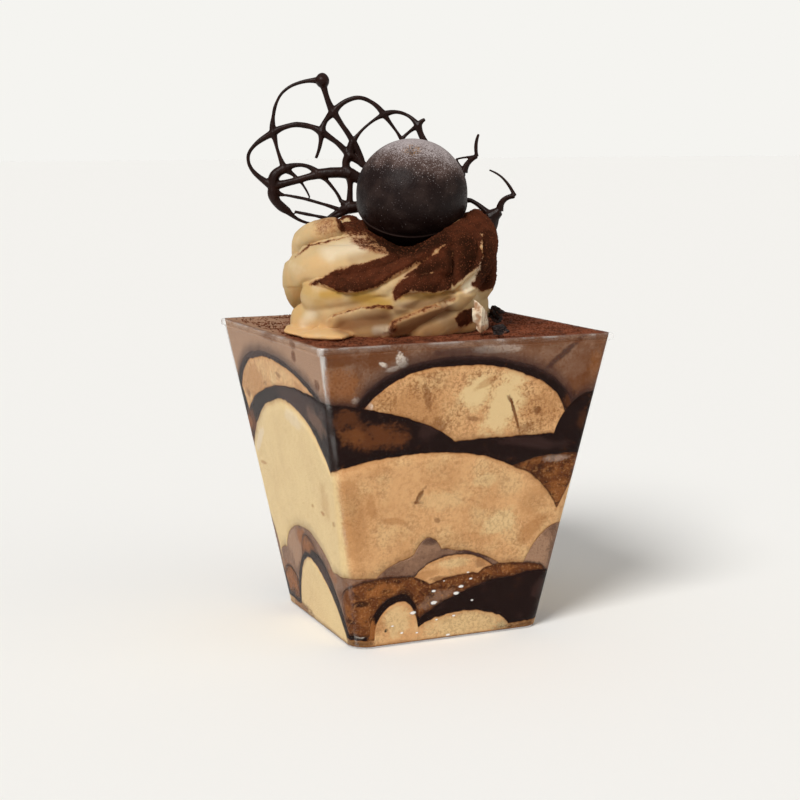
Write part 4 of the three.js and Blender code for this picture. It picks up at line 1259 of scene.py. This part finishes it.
def lobe_line(turn, start, end, half, climb, sweep):
    """The middle line of a lobe and its radius along it, closed to a round nose and tail."""
    along = np.linspace(-NOSE_BLUNT / NOSE_GROWTH, 1, 90)
    share = start + (end - start) * np.sign(along) * np.abs(along) ** (1.4 if sweep else 1)
    azimuth = np.radians(turn + climb * (share - CREST_SHARE) - sweep * np.exp(-share / SWEEP_SHARE))
    points = swirl_points(azimuth, np.clip(share, 0, 1), LOBE_DEPTH)
    nose = np.sqrt(np.clip(NOSE_BLUNT + along * NOSE_GROWTH, 0.004, 1))
    swell = nose * (1 - 0.25 * np.clip(along, 0, 1))
    closing = np.sqrt(np.clip(1 - ((along - TAIL_START) / TAIL_LENGTH) ** 2, 0.004, 1))
    uneven = 1 + 0.05 * np.sin(9 * along + turn)
    return points, half * swell * uneven * np.where(along > TAIL_START, closing, 1)


def cream_apron():
    """A low spread of cream from the swirl's foot towards the left rim."""
    rings, steps = 14, 40
    unit = ball(rings, steps)
    turn = np.arctan2(unit[:, 1], unit[:, 0])
    border = 1 + 0.05 * np.sin(3 * turn + 1) + 0.05 * np.sin(7 * turn)
    points = unit * np.stack([border, border, np.ones(len(unit))], -1) * APRON_HALF + APRON_MIDDLE
    return add_mesh("cream_apron", points, ring_faces(rings, steps))


def from_line(across, height, line):
    """How far points are from a line of straight stretches, and 1 on its left side or -1 on its right."""
    nearest = np.full(len(across), 1e9)
    side = np.zeros(len(across))
    for (ax, ay), (bx, by) in zip(line, line[1:]):
        dx, dy = bx - ax, by - ay
        share = np.clip(((across - ax) * dx + (height - ay) * dy) / (dx * dx + dy * dy), 0, 1)
        away_x, away_y = across - ax - share * dx, height - ay - share * dy
        distance = np.hypot(away_x, away_y)
        closer = distance < nearest
        nearest = np.where(closer, distance, nearest)
        side = np.where(closer, np.sign(dx * away_y - dy * away_x), side)
    return nearest, side


def depth_inside(across, height, outline):
    """How far points are inside an outline, and less than 0 outside it."""
    closed = outline + outline[:1]
    inside = np.zeros(len(across), bool)
    for (ax, ay), (bx, by) in zip(closed, closed[1:]):
        if ay != by:
            crossing = ax + (height - ay) * (bx - ax) / (by - ay)
            inside ^= ((ay > height) != (by > height)) & (across < crossing)
    return np.where(inside, 1, -1) * from_line(across, height, closed)[0]


def cocoa_cover(points, normals):
    """How much cocoa lies on each point of the swirl, from 0 to 1."""
    across, height = in_view(points)
    ragged = rough(points, 1.6, 3)
    cover = np.zeros(len(points))
    for strength, outline in COCOA_FIELDS:
        depth = depth_inside(across, height, outline) + 0.35 * ragged
        feathered = 0.4 + 3 * (1 - strength)
        cover = np.maximum(cover, strength * smooth_step(depth, -0.6, feathered))
    for half, line in COCOA_CREASES:
        reach = from_line(across, height, line)[0] + 0.25 * ragged
        cover = np.maximum(cover, 0.75 * smooth_step(reach, half + 0.4, half))
    front = at_front(points)
    sifted = smooth_step(normals[:, 2] + 0.3 * ragged + 0.012 * (points @ ACROSS), 0.25, 0.7)
    return cover * front + sifted * (1 - front)


def fold_relief(points):
    """How far the swirl's skin stands proud, or is sunk, beside its folds."""
    across, height = in_view(points)
    push = np.zeros(len(points))
    for proud, line in FOLDS:
        nearest, side = from_line(across, height, line)
        ends = np.minimum(*(np.hypot(across - x, height - y) for x, y in (line[0], line[-1])))
        fade = smooth_step(ends, 0.2, 2.5)
        raised = 1.3 * proud * np.exp(-nearest / 2.6)
        sunk = -proud * np.exp(-nearest / 1.0)
        push += fade * np.where(side > 0, raised, sunk)
    return push * at_front(points)


def painted_light_of(name, points):
    """How strongly one kind of painted shade or highlight shows at each point of the swirl."""
    across, height = in_view(points)
    total = np.zeros(len(points))
    for tint, strength, half, line in PAINTED_LIGHT:
        if tint == name:
            reach = from_line(across, height, line)[0] + 0.3 * rough(points, 3.0, 2)
            total = np.maximum(total, strength * smooth_step(reach, 1.6 * half, 0.2 * half))
    return total * at_front(points)


def swirl_look(settings):
    """Piped cream: warmer at its foot, with painted shade in its hollows and under the truffle, painted
    highlights on its ridges, and cocoa sifted over it.
    """
    look = Look("piped cream", settings, "cream")
    height = look.parts(look.place)[2]
    look.lay(look.blotches(7.0, 0.4, 0.7) * 0.4, "warm_cream")
    look.lay(look.step(height + look.noise(6.0, 2) * 4, 71, 65), "warm_cream")
    look.lay(look.blotches(4.0, 0.5, 0.75) * 0.35, "pale")
    # Painted shade: the cream is made darker in its hollows
    hollow = look.attribute("hollow") + (look.noise(1.5) - 0.5) * 0.25
    look.lay(look.step(hollow, 0.2, 0.95) * 0.6, "hollow")
    # Painted shade in the hollows and creases, and painted highlights on the ridges
    for tint, strength in (("olive", 0.85), ("umber", 0.8), ("glow", 0.8)):
        look.lay(look.attribute(tint) * strength, tint)
    dust = look.attribute("dust")
    grain = look.noise(0.7, 4, 0, 0.7) - 0.5
    look.lay(look.step(dust + grain * 1.1, 0.05, 0.75) * 0.8, "rust")
    cream = look.tone
    look.tone = look.colour_of("cocoa")
    look.lay(look.blotches(2.2, 0.38, 0.7, 4) * 0.75, "cocoa", 0.35)
    look.lay(look.attribute("shade") * 0.95, "cocoa", 0.12)
    look.lay(look.blotches(0.5, 0.54, 0.72) * 0.28, "cocoa", 1.8)
    powder = look.step(dust + grain * 1.3, 0.52, 0.85)
    look.tone = look.mix(powder * 0.97, cream, look.tone)
    bump = look.bump(look.noise(0.4, 4) * (0.1 + dust * 0.5), 0.25)
    return look.surface(Roughness=0.5 + powder * 0.4, Normal=bump, Specular_IOR_Level=0.03,
                        Subsurface_Weight=0.2, Subsurface_Radius=(1.0, 0.55, 0.3), Subsurface_Scale=1.0 * MM)


def make_swirl(settings):
    """The piped swirl: a domed core wrapped in lobes, with a socket for the truffle."""
    lobes = swept("swirl_lobes", [lobe_line(*lobe) for lobe in LOBES], LOBE_SIDES)
    swirl = remeshed([swirl_core(), lobes, cream_apron()], "cream_swirl_look", settings.voxel)
    points = smoothed(swirl, np.maximum(points_of(swirl), SWIRL_LOWEST), 3)
    beyond = np.clip(LEFT_REACH - points @ ACROSS, 0, None)
    points = points + LEFT_SQUEEZE * beyond[:, None] * ACROSS
    socket = TRUFFLE_RADIUS + 0.1
    from_truffle = points - TRUFFLE_MIDDLE
    distance = np.linalg.norm(from_truffle, axis=1)[:, None]
    points = np.where(distance < socket, TRUFFLE_MIDDLE + from_truffle * (socket / distance), points)
    normals = move_points(swirl, points)
    outside = smooth_step(np.linalg.norm(points - TRUFFLE_MIDDLE, axis=1), socket, socket + 0.8)
    points = smoothed(swirl, points + normals * (fold_relief(points) * outside)[:, None], 1)
    points = np.maximum(points, SWIRL_LOWEST)
    normals = move_points(swirl, points)
    # Painted shade: how deeply each point lies in a hollow, for darker cream there
    wide = smoothed(swirl, points, 14)
    hollow = np.clip(((wide - points) * normals).sum(1) / 0.25, 0, 1)
    cover = np.maximum(cocoa_cover(points, normals), 0)
    lump = 0.06 * rough(points, 2.0, 3) + cover * (0.07 * rough(points, 0.8, 2) + 0.08)
    points = np.maximum(points + normals * (lump * outside)[:, None], SWIRL_LOWEST)
    move_points(swirl, points)
    store(swirl, "hollow", hollow)
    store(swirl, "dust", cover)
    # Painted shade and painted highlights, from the lines of the table
    for tint in ("olive", "umber", "shade", "glow"):
        store(swirl, tint, painted_light_of(tint, points))
    set_material(swirl, swirl_look(settings))
    dress(swirl, "cream_swirl", "cream_swirl")


# Truffle

TRUFFLE_TILT = math.radians(36)
SEAM_BELOW = 2.2
SEAM_HALF = 0.2
TRUFFLE_STEPS = 200
EVEN_RINGS = 114
SEAM_RINGS = 18
FLATTENED = np.array([1, 1, 0.985])


def truffle_look(settings):
    """Moulded dark chocolate: satin and finely specked, with a frosty cap that thins downwards."""
    look = Look("truffle chocolate", settings, "dark")
    cap = look.attribute("frost")
    look.lay(look.blotches(3.5, 0.4, 0.75) * 0.5, "bloom", 0.5)
    grain = look.noise(0.32, 3, 0, 0.6)
    look.lay(look.step(cap + grain * 0.5, 0.25, 0.75) * 0.8, "bloom")
    dusty = look.step(cap + (grain - 0.5) * 1.8, 0.42, 1.1)
    look.lay(dusty * 0.85, "frost")
    few = look.step(look.cells(0.7), 0.15, 0.06) * look.blotches(2.0, 0.4, 0.6, 2) * 0.55
    around_cap = look.step(cap + (look.noise(1.5, 2) - 0.5) * 0.4, 0.0, 0.25)
    many = look.step(look.cells(0.45), 0.26, 0.12) * around_cap
    look.lay(few.most(many) * 0.75, "frost")
    look.lay(look.attribute("seam") * 0.5, "bloom")
    marked = look.attribute("scratch")
    look.lay(marked * look.blotches(0.5, 0.5, 0.58, 4, 1.5), "gold")
    look.lay(marked * look.blotches(0.4, 0.56, 0.62, 4, 2.0), "dark", 0.6)
    return look.surface(Roughness=0.42 + dusty * 0.3, Specular_IOR_Level=0.13,
                        Normal=look.bump(grain + few * 0.6, 0.1))


def make_truffle(settings):
    """The truffle: a moulded ball with a raised seam and a puckered pole."""
    radius = TRUFFLE_RADIUS
    seam_latitude = -math.asin(SEAM_BELOW / radius)
    even = np.linspace(-math.pi / 2, math.pi / 2, EVEN_RINGS)
    near_seam = seam_latitude + np.linspace(-0.05, 0.05, SEAM_RINGS)
    latitude = np.sort(np.concatenate([even[np.abs(even - seam_latitude) > 0.055], near_seam]))
    longitude = np.linspace(0, 2 * math.pi, TRUFFLE_STEPS, endpoint=False)
    axis_turn = np.array(Matrix.Rotation(TRUFFLE_TILT, 3, Vector(ACROSS)))

    def on_seam(lat):
        return np.exp(-((radius * (lat - seam_latitude) / SEAM_HALF) ** 2))

    def shell(lat, lon):
        flat = np.cos(lat)
        unit = np.stack([flat * np.cos(lon), flat * np.sin(lon), np.sin(lat) + 0 * lon], -1)
        from_pole = np.clip(math.pi / 2 - lat, 0, None)
        pucker = 0.45 * np.exp(-((from_pole / 0.06) ** 2))
        folds = 0.16 * np.sin(5 * lon + 14 * from_pole) * np.exp(-(((from_pole - 0.12) / 0.08) ** 2))
        swell = radius - 0.12 - pucker + folds + settings.seam / MM * on_seam(lat)
        lumps = 0.05 * rough(unit * radius, 3.5, 2)
        return unit * (swell + lumps)[..., None] * FLATTENED

    body = [shell(np.full(TRUFFLE_STEPS, lat), longitude) for lat in latitude[1:-1]]
    poles = [shell(np.array([lat]), np.array([0.0])) for lat in (latitude[0], latitude[-1])]
    local = np.concatenate([poles[0], *body, poles[1]])
    turned = local @ axis_turn.T
    points = turned + TRUFFLE_MIDDLE
    faces = ring_faces(len(body), TRUFFLE_STEPS)
    truffle = add_mesh("truffle_look", points, faces, truffle_look(settings))
    ragged = 0.1 * rough(points, 3.0, 3)
    to_right = np.clip(turned @ ACROSS / radius, -0.5, None)
    store(truffle, "frost", smooth_step(turned[:, 2] / radius + ragged + 0.2 * to_right, 0.2, 1.0))
    store(truffle, "seam", on_seam(np.arcsin(np.clip(local[:, 2] / np.linalg.norm(local, axis=1), -1, 1))))
    from_pole = np.linalg.norm(local - np.array([0, 0, radius]), axis=1)
    store(truffle, "scratch", smooth_step(from_pole + 0.5 * noise(points, 1.2), 2.4, 1.0))
    dress(truffle, "truffle", "truffle")


# Lattice

LATTICE_BEHIND = 13.5
JUNCTIONS = {
    "hub": (0, 90.5, 3.0), "foot": (0.5, 83.5, 3.8), "knob": (-18.4, 116.4, 2.4),
    "stalk": (-16.1, 109.6, 2.2), "crotch": (-11.9, 103.2, 1.6), "left_top": (-29.4, 105.2, 1.9),
    "arch": (-18.7, 105.3, 2.2), "twig": (-20.1, 99.6, 0.6), "knot": (-12.6, 100.1, 2.4),
    "left_mid": (-27.0, 97.3, 2.0), "left_low": (-29.7, 93.6, 2.6), "band": (-19.5, 96.2, 2.3),
    "band_end": (-12.6, 96.2, 2.7), "shoulder": (-9.8, 98.3, 1.6), "right_top": (-5.0, 109.0, 1.6),
    "crook": (-1.1, 103.5, 0.9), "right_blob": (2.5, 106.5, 1.8), "spike": (4.0, 107.9, 0.4),
    "right_dip": (4.4, 102.4, 1.3), "low_end": (-20.6, 85.2, 0.5), "low_bend": (-26.6, 88.1, 1.6),
    "drop_a": (-21.6, 91.0, 0.4), "drop_b": (-14.6, 89.9, 0.8), "rib_start": (-27.3, 91.6, 0.6),
    "rib_end": (-14.6, 88.1, 1.4), "free_end": (-25.0, 87.9, 0.75), "free_foot": (-17.6, 86.3, 0.9),
    "lump": (-12.8, 88.7, 2.8), "horn_tip": (15.6, 104.6, 0.5), "horn": (15.2, 99.8, 1.0),
    "horn_foot": (12.4, 96.4, 1.8), "film_corner": (10.7, 99.3, 0.45), "tail_tip": (17.9, 96.9, 0.35),
    "tail_bend": (23.2, 91.3, 1.1), "tail_low": (20.0, 88.0, 1.8), "tail_blob": (18.2, 86.6, 3.6),
    "tail_foot": (17.6, 84.6, 4.0), "tail_link": (13.8, 90.4, 1.0),
}

# Each strand's two junctions, how far it bows to its left, and its width between the webs
STRANDS = [
    ("knob", "left_top", -4.5, 0.7), ("knob", "stalk", -0.3, 1.05), ("stalk", "crotch", 0.1, 1.05),
    ("crotch", "knot", -0.2, 1.4), ("stalk", "arch", -0.5, 0.7), ("left_top", "arch", 1.7, 1.1),
    ("arch", "twig", 0.3, 0.7), ("arch", "knot", 0.4, 1.05), ("left_top", "left_low", -5.5, 0.75),
    ("left_top", "left_mid", -0.2, 0.7), ("left_mid", "left_low", -0.9, 2.3),
    ("left_low", "band", -0.2, 1.5), ("left_mid", "band", 1.4, 0.8), ("band", "band_end", 0.2, 2.3),
    ("band_end", "hub", -0.3, 2.4), ("knot", "band_end", -0.9, 0.8), ("crotch", "shoulder", 0.3, 1.1),
    ("knot", "shoulder", 0.1, 0.8), ("shoulder", "hub", 0.2, 1.8), ("stalk", "right_top", 3.4, 0.9),
    ("crotch", "right_top", 0.6, 0.6), ("right_top", "right_blob", 1.6, 0.7),
    ("right_top", "crook", 0.1, 0.65), ("crook", "right_blob", 0.2, 0.5),
    ("right_blob", "spike", 0.2, 0.5), ("right_blob", "right_dip", -0.2, 1.2),
    ("crook", "hub", 0, 1.0), ("right_dip", "hub", 0, 1.4), ("left_low", "low_bend", -1.0, 2.3),
    ("low_bend", "low_end", -0.6, 0.65), ("band", "drop_b", 0.6, 0.65),
    ("left_mid", "drop_a", 0.8, 0.6), ("band_end", "lump", 0.1, 1.0),
    ("left_low", "rib_start", -0.4, 0.8), ("rib_start", "rib_end", 0.4, 0.75),
    ("free_end", "free_foot", 0.1, 0.75), ("free_foot", "rib_end", 0.2, 0.8),
    ("drop_b", "lump", 0.1, 0.8), ("rib_end", "lump", 0.1, 1.6), ("lump", "hub", 0, 2.4),
    ("lump", "free_foot", 0.4, 1.0), ("hub", "foot", 0, 3.8), ("horn_tip", "horn", -0.4, 0.75),
    ("horn", "horn_foot", -0.6, 1.2), ("horn_foot", "hub", 0, 1.8),
    ("film_corner", "horn", 0.1, 0.45), ("film_corner", "horn_foot", -0.2, 0.8),
    ("tail_tip", "tail_bend", 0.8, 0.55), ("tail_bend", "tail_low", -1.0, 1.3),
    ("tail_low", "tail_blob", 0, 2.6), ("tail_blob", "tail_foot", 0, 4.2),
    ("tail_link", "tail_blob", 0.4, 0.8), ("hub", "tail_link", 0, 1.4),
]
WEB_REACH = 1.4
STRAND_SIDES = 12
THINNEST = 0.22
KNOB_RADIUS = 1.6


def on_sheet(across, height):
    """The sheet that the lattice lies in: flat on the left, bending forward on the right."""
    return seen(across, LATTICE_BEHIND - 0.35 * np.clip(across, 0, None), height)


def strand_line(start, end, bow, width):
    """The middle line of a strand and its radius, which grows into the webs at its ends."""
    a, b = np.array(JUNCTIONS[start]), np.array(JUNCTIONS[end])
    reach = math.dist(a[:2], b[:2])
    left = np.array([a[1] - b[1], b[0] - a[0]]) / reach
    steps = max(8, round((reach + 2 * abs(bow)) / 0.5))
    along = np.linspace(0, 1, steps + 1)
    flat = a[:2] + (b - a)[:2] * along[:, None] + left * (4 * bow * along * (1 - along))[:, None]
    points = on_sheet(flat[:, 0], flat[:, 1])
    points += 0.08 * np.stack([noise(points, 2.6, SEED + k) for k in range(3)], -1)
    near_start, near_end = np.exp(-along * reach / WEB_REACH), np.exp((along - 1) * reach / WEB_REACH)
    half = (width + (a[2] - width) * near_start + (b[2] - width) * near_end) / 2
    return points, np.maximum(half * (1 + 0.12 * noise(points, 1.7, 3)), THINNEST)


def knob_mesh():
    rings, steps = 12, 24
    points = KNOB_RADIUS * ball(rings, steps)
    points = points * (1 + 0.12 * noise(points, 1.5))[:, None] + on_sheet(*JUNCTIONS["knob"][:2])
    return add_mesh("lattice_knob", points, ring_faces(rings, steps))


def lattice_look(settings):
    """Piped dark chocolate: glossy, with lighter patches over it as painted highlights."""
    look = Look("piped chocolate", settings, "dark")
    # Painted highlights: lighter patches of the chocolate
    look.lay(look.blotches(2.5, 0.4, 0.75) * 0.7, "dark", 2.0)
    return look.surface(Roughness=0.28 + look.noise(1.5) * 0.25, Specular_IOR_Level=0.16,
                        Normal=look.bump(look.noise(0.8), 0.12))


def make_lattice(settings):
    """The lattice: strands piped between junctions, run together where they cross."""
    strands = swept("lattice_strands", [strand_line(*strand) for strand in STRANDS], STRAND_SIDES)
    lattice = remeshed([strands, knob_mesh()], "lattice_look", settings.voxel)
    move_points(lattice, smoothed(lattice, points_of(lattice), 5, 0.45))
    set_material(lattice, lattice_look(settings))
    dress(lattice, "lattice", "lattice")


# Crumbs and broken bits

# Crumbs a square millimetre, and how far from the cup's outside they end
CRUMBS_ON_SWIRL = 1.6
CRUMBS_ON_TOP = 2.4
CRUMB_MARGIN = 1.6


def crumpled(directions, seed, folds, facets):
    """How far a crumpled bit reaches in each direction: folds of flat facets run into each other."""
    draw = np.random.default_rng(seed)
    reach = np.zeros(len(directions))
    for _ in range(folds):
        planes = draw.normal(size=(facets, 3))
        planes /= np.linalg.norm(planes, axis=1)[:, None]
        away = draw.uniform(0.35, 1.0, facets)
        facing = np.clip(directions @ planes.T, 0.05, None)
        reach = np.maximum(reach, np.minimum((away / facing).min(1), 1.5))
    return reach


def bit_mesh(node, seed, folds, facets, rugged, material):
    """A broken bit with folds and facets, in the space of its solid."""
    low, high = (np.array(corner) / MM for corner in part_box(node))
    rings, steps = 60, 90
    points = ball(rings, steps)
    rugged_by = 1 + rugged * rough(points, 0.4, 3, seed)
    points = points * (crumpled(points, seed, folds, facets) * rugged_by)[:, None]
    smallest, largest = points.min(0), points.max(0)
    points = low + (points - smallest) / (largest - smallest) * (high - low)
    return add_mesh(node + "_look", points, ring_faces(rings, steps), material)


def shard_look():
    """A dried fold of cream: pale, with tan and brown blotches."""
    look = Look("dried cream", None, linear(232, 214, 186))
    look.lay(look.blotches(2.0, 0.42, 0.6, 2), linear(184, 142, 108))
    look.lay(look.blotches(0.6, 0.55, 0.7, 4) * 0.6, linear(120, 78, 52))
    return look.surface(Roughness=0.55, Normal=look.bump(look.noise(0.5, 4), 0.2))


def chip_look():
    """Broken dark chocolate: almost black, with a few brown and grey edges."""
    look = Look("chocolate chip", None, linear(26, 16, 14))
    look.lay(look.blotches(0.7, 0.5, 0.72, 4), linear(84, 54, 42))
    look.lay(look.blotches(0.35, 0.62, 0.72) * 0.7, linear(120, 96, 84))
    return look.surface(Roughness=0.6, Specular_IOR_Level=0.3, Normal=look.bump(look.noise(0.4, 4), 0.3))


def make_bits():
    """The pale shard and the two dark chips beside the swirl."""
    chip = chip_look()
    for node, seed, folds, facets, rugged, material in (
            ("cream_shard", 4, 2, 11, 0.03, shard_look()), ("chocolate_chip_rear", 11, 2, 14, 0.14, chip),
            ("chocolate_chip_front", 12, 2, 14, 0.14, chip)):
        dress(bit_mesh(node, seed, folds, facets, rugged, material), node, node)


def make_crumbs(settings, cocoa_settings):
    """Cocoa crumbs over the swirl and the filling's top."""
    crumb = crumb_look(cocoa_settings)
    swirl = bpy.data.objects["cream_swirl_look"]
    thick = np.empty(len(swirl.data.vertices), np.float32)
    swirl.data.attributes["dust"].data.foreach_get("value", thick)
    on_swirl = scattered("cocoa_on_swirl", swirl, smooth_step(thick, 0.5, 1.0), crumb, CRUMBS_ON_SWIRL,
                         settings.smallest, settings.largest * 0.7)
    dress(on_swirl, "cocoa_top")
    top = bpy.data.objects["cocoa_top_look"]
    points = points_of(top)
    inside = np.abs(points[:, :2]).max(1) < outer_half(FILL_LEVEL) - CRUMB_MARGIN
    upper = (points[:, 2] > FILL_LEVEL - 0.9) & inside
    strewn = upper * np.clip(0.55 + 0.6 * noise(points, 5.0), 0.1, 1)
    on_top = scattered("cocoa_on_top", top, strewn, crumb, CRUMBS_ON_TOP,
                       settings.smallest, settings.largest * 1.2)
    dress(on_top, "cocoa_top")


# Stage

CAMERA_AT = (-135.99, -315.68, 101.10)
CAMERA_FORWARD = (0.386156, 0.909527, -0.153764)
CAMERA_UP = (0.065189, 0.139369, 0.988092)
KEY_FROM = (-0.58, -0.45, 0.68)
FILL_FROM = (0.6, -0.6, 0.35)
FLOOR_HALF = 20000.0


def add_camera(lens):
    data = bpy.data.cameras.new("Camera")
    data.sensor_width = 36
    data.lens = lens
    data.clip_start = 0.01
    camera = add_object("Camera", data)
    forward, up = Vector(CAMERA_FORWARD).normalized(), Vector(CAMERA_UP)
    right = forward.cross(up).normalized()
    up = right.cross(forward)
    turn = Matrix((right, up, -forward)).transposed()
    camera.matrix_world = Matrix.Translation(Vector(CAMERA_AT) * MM) @ turn.to_4x4()
    bpy.context.scene.camera = camera


def add_sun(name, towards, strength, angle, tone):
    """A soft distant light that comes from the direction `towards`."""
    data = bpy.data.lights.new(name, "SUN")
    data.energy = strength
    data.angle = angle
    data.color = tone
    light = add_object(name, data)
    light.rotation_euler = Vector(towards).to_track_quat("Z", "Y").to_euler()


def make_world(tone):
    """A plain bright background, and around the dessert a studio that is bright above and dim below."""
    world = bpy.data.worlds.new("Studio")
    bpy.context.scene.world = world
    nodes = Nodes(world)
    height = nodes.parts(nodes.node("ShaderNodeTexCoord", output="Generated"))[2]
    sky = nodes.step(height, -0.1, 0.9, 0.12, 0.5)
    studio = nodes.node("ShaderNodeBackground", None, {"Color": (1, 0.99, 0.98), "Strength": sky})
    plain_white = nodes.node("ShaderNodeBackground", None, {"Color": tone})
    seen_straight = nodes.node("ShaderNodeLightPath", output="Is Camera Ray")
    shader = nodes.node("ShaderNodeMixShader", None, {0: seen_straight, 1: studio, 2: plain_white})
    nodes.finish("World", shader)


def make_stage(settings):
    """A pale floor, a plain background, soft lights and the camera."""
    material = Look("floor", settings, "floor").surface(Roughness=1.0, Specular_IOR_Level=0.0)
    corners = [(x * FLOOR_HALF, y * FLOOR_HALF, 0) for x, y in ((-1, -1), (1, -1), (1, 1), (-1, 1))]
    floor = add_mesh("floor", corners, [(0, 1, 2, 3)], material, smooth=False)
    make_world(tuple(settings.backdrop))
    add_sun("key", KEY_FROM, settings.key, 0.4, (1, 0.985, 0.965))
    add_sun("fill", FILL_FROM, settings.fill, 1.0, (1, 0.9, 0.76))
    bpy.context.scene.view_settings.view_transform = "Standard"
    add_camera(settings.lens)


# Operators, panel and registration

class TIRAMISU_OT_cup(bpy.types.Operator):
    """Make the clear cup"""
    bl_idname = "tiramisu.cup"
    bl_label = "Cup"

    def execute(self, context):
        make_cup(context.scene.tiramisu.cup)
        return {"FINISHED"}


class TIRAMISU_OT_filling(bpy.types.Operator):
    """Make the layers that fill the cup"""
    bl_idname = "tiramisu.filling"
    bl_label = "Filling"

    def execute(self, context):
        make_filling(context.scene.tiramisu.filling)
        return {"FINISHED"}


class TIRAMISU_OT_swirl(bpy.types.Operator):
    """Make the piped swirl of cream"""
    bl_idname = "tiramisu.swirl"
    bl_label = "Swirl"

    def execute(self, context):
        make_swirl(context.scene.tiramisu.swirl)
        return {"FINISHED"}


class TIRAMISU_OT_truffle(bpy.types.Operator):
    """Make the chocolate truffle"""
    bl_idname = "tiramisu.truffle"
    bl_label = "Truffle"

    def execute(self, context):
        make_truffle(context.scene.tiramisu.truffle)
        return {"FINISHED"}


class TIRAMISU_OT_lattice(bpy.types.Operator):
    """Make the piped chocolate lattice"""
    bl_idname = "tiramisu.lattice"
    bl_label = "Lattice"

    def execute(self, context):
        make_lattice(context.scene.tiramisu.lattice)
        return {"FINISHED"}


class TIRAMISU_OT_topping(bpy.types.Operator):
    """Make the broken bits and the cocoa crumbs"""
    bl_idname = "tiramisu.topping"
    bl_label = "Crumbs and bits"

    def execute(self, context):
        settings = context.scene.tiramisu
        make_bits()
        make_crumbs(settings.topping, settings.filling)
        return {"FINISHED"}


class TIRAMISU_OT_stage(bpy.types.Operator):
    """Make the floor, the lights and the camera"""
    bl_idname = "tiramisu.stage"
    bl_label = "Stage"

    def execute(self, context):
        make_stage(context.scene.tiramisu.stage)
        return {"FINISHED"}


class TIRAMISU_PT_panel(bpy.types.Panel):
    """The dessert's pieces and their settings"""
    bl_idname = "TIRAMISU_PT_panel"
    bl_label = "Tiramisu"
    bl_space_type = "VIEW_3D"
    bl_region_type = "UI"
    bl_category = "Tiramisu"

    def draw(self, context):
        settings = context.scene.tiramisu
        for piece in PIECES:
            group = getattr(settings, piece)
            box = self.layout.box()
            box.operator("tiramisu." + piece)
            for name in group.bl_rna.properties.keys():
                if name not in ("rna_type", "name"):
                    box.prop(group, name)


PIECES = ("cup", "filling", "swirl", "truffle", "lattice", "topping", "stage")
CLASSES = (
    CupSettings, FillingSettings, SwirlSettings, TruffleSettings, LatticeSettings, ToppingSettings,
    StageSettings, TiramisuSettings, TIRAMISU_OT_cup, TIRAMISU_OT_filling, TIRAMISU_OT_swirl,
    TIRAMISU_OT_truffle, TIRAMISU_OT_lattice, TIRAMISU_OT_topping, TIRAMISU_OT_stage, TIRAMISU_PT_panel,
)


def register():
    for each in CLASSES:
        bpy.utils.register_class(each)
    bpy.types.Scene.tiramisu = bpy.props.PointerProperty(type=TiramisuSettings)


def unregister():
    del bpy.types.Scene.tiramisu
    for each in reversed(CLASSES):
        bpy.utils.unregister_class(each)


def main():
    register()
    for piece in PIECES:
        getattr(bpy.ops.tiramisu, piece)()


if __name__ == "__main__":
    main()
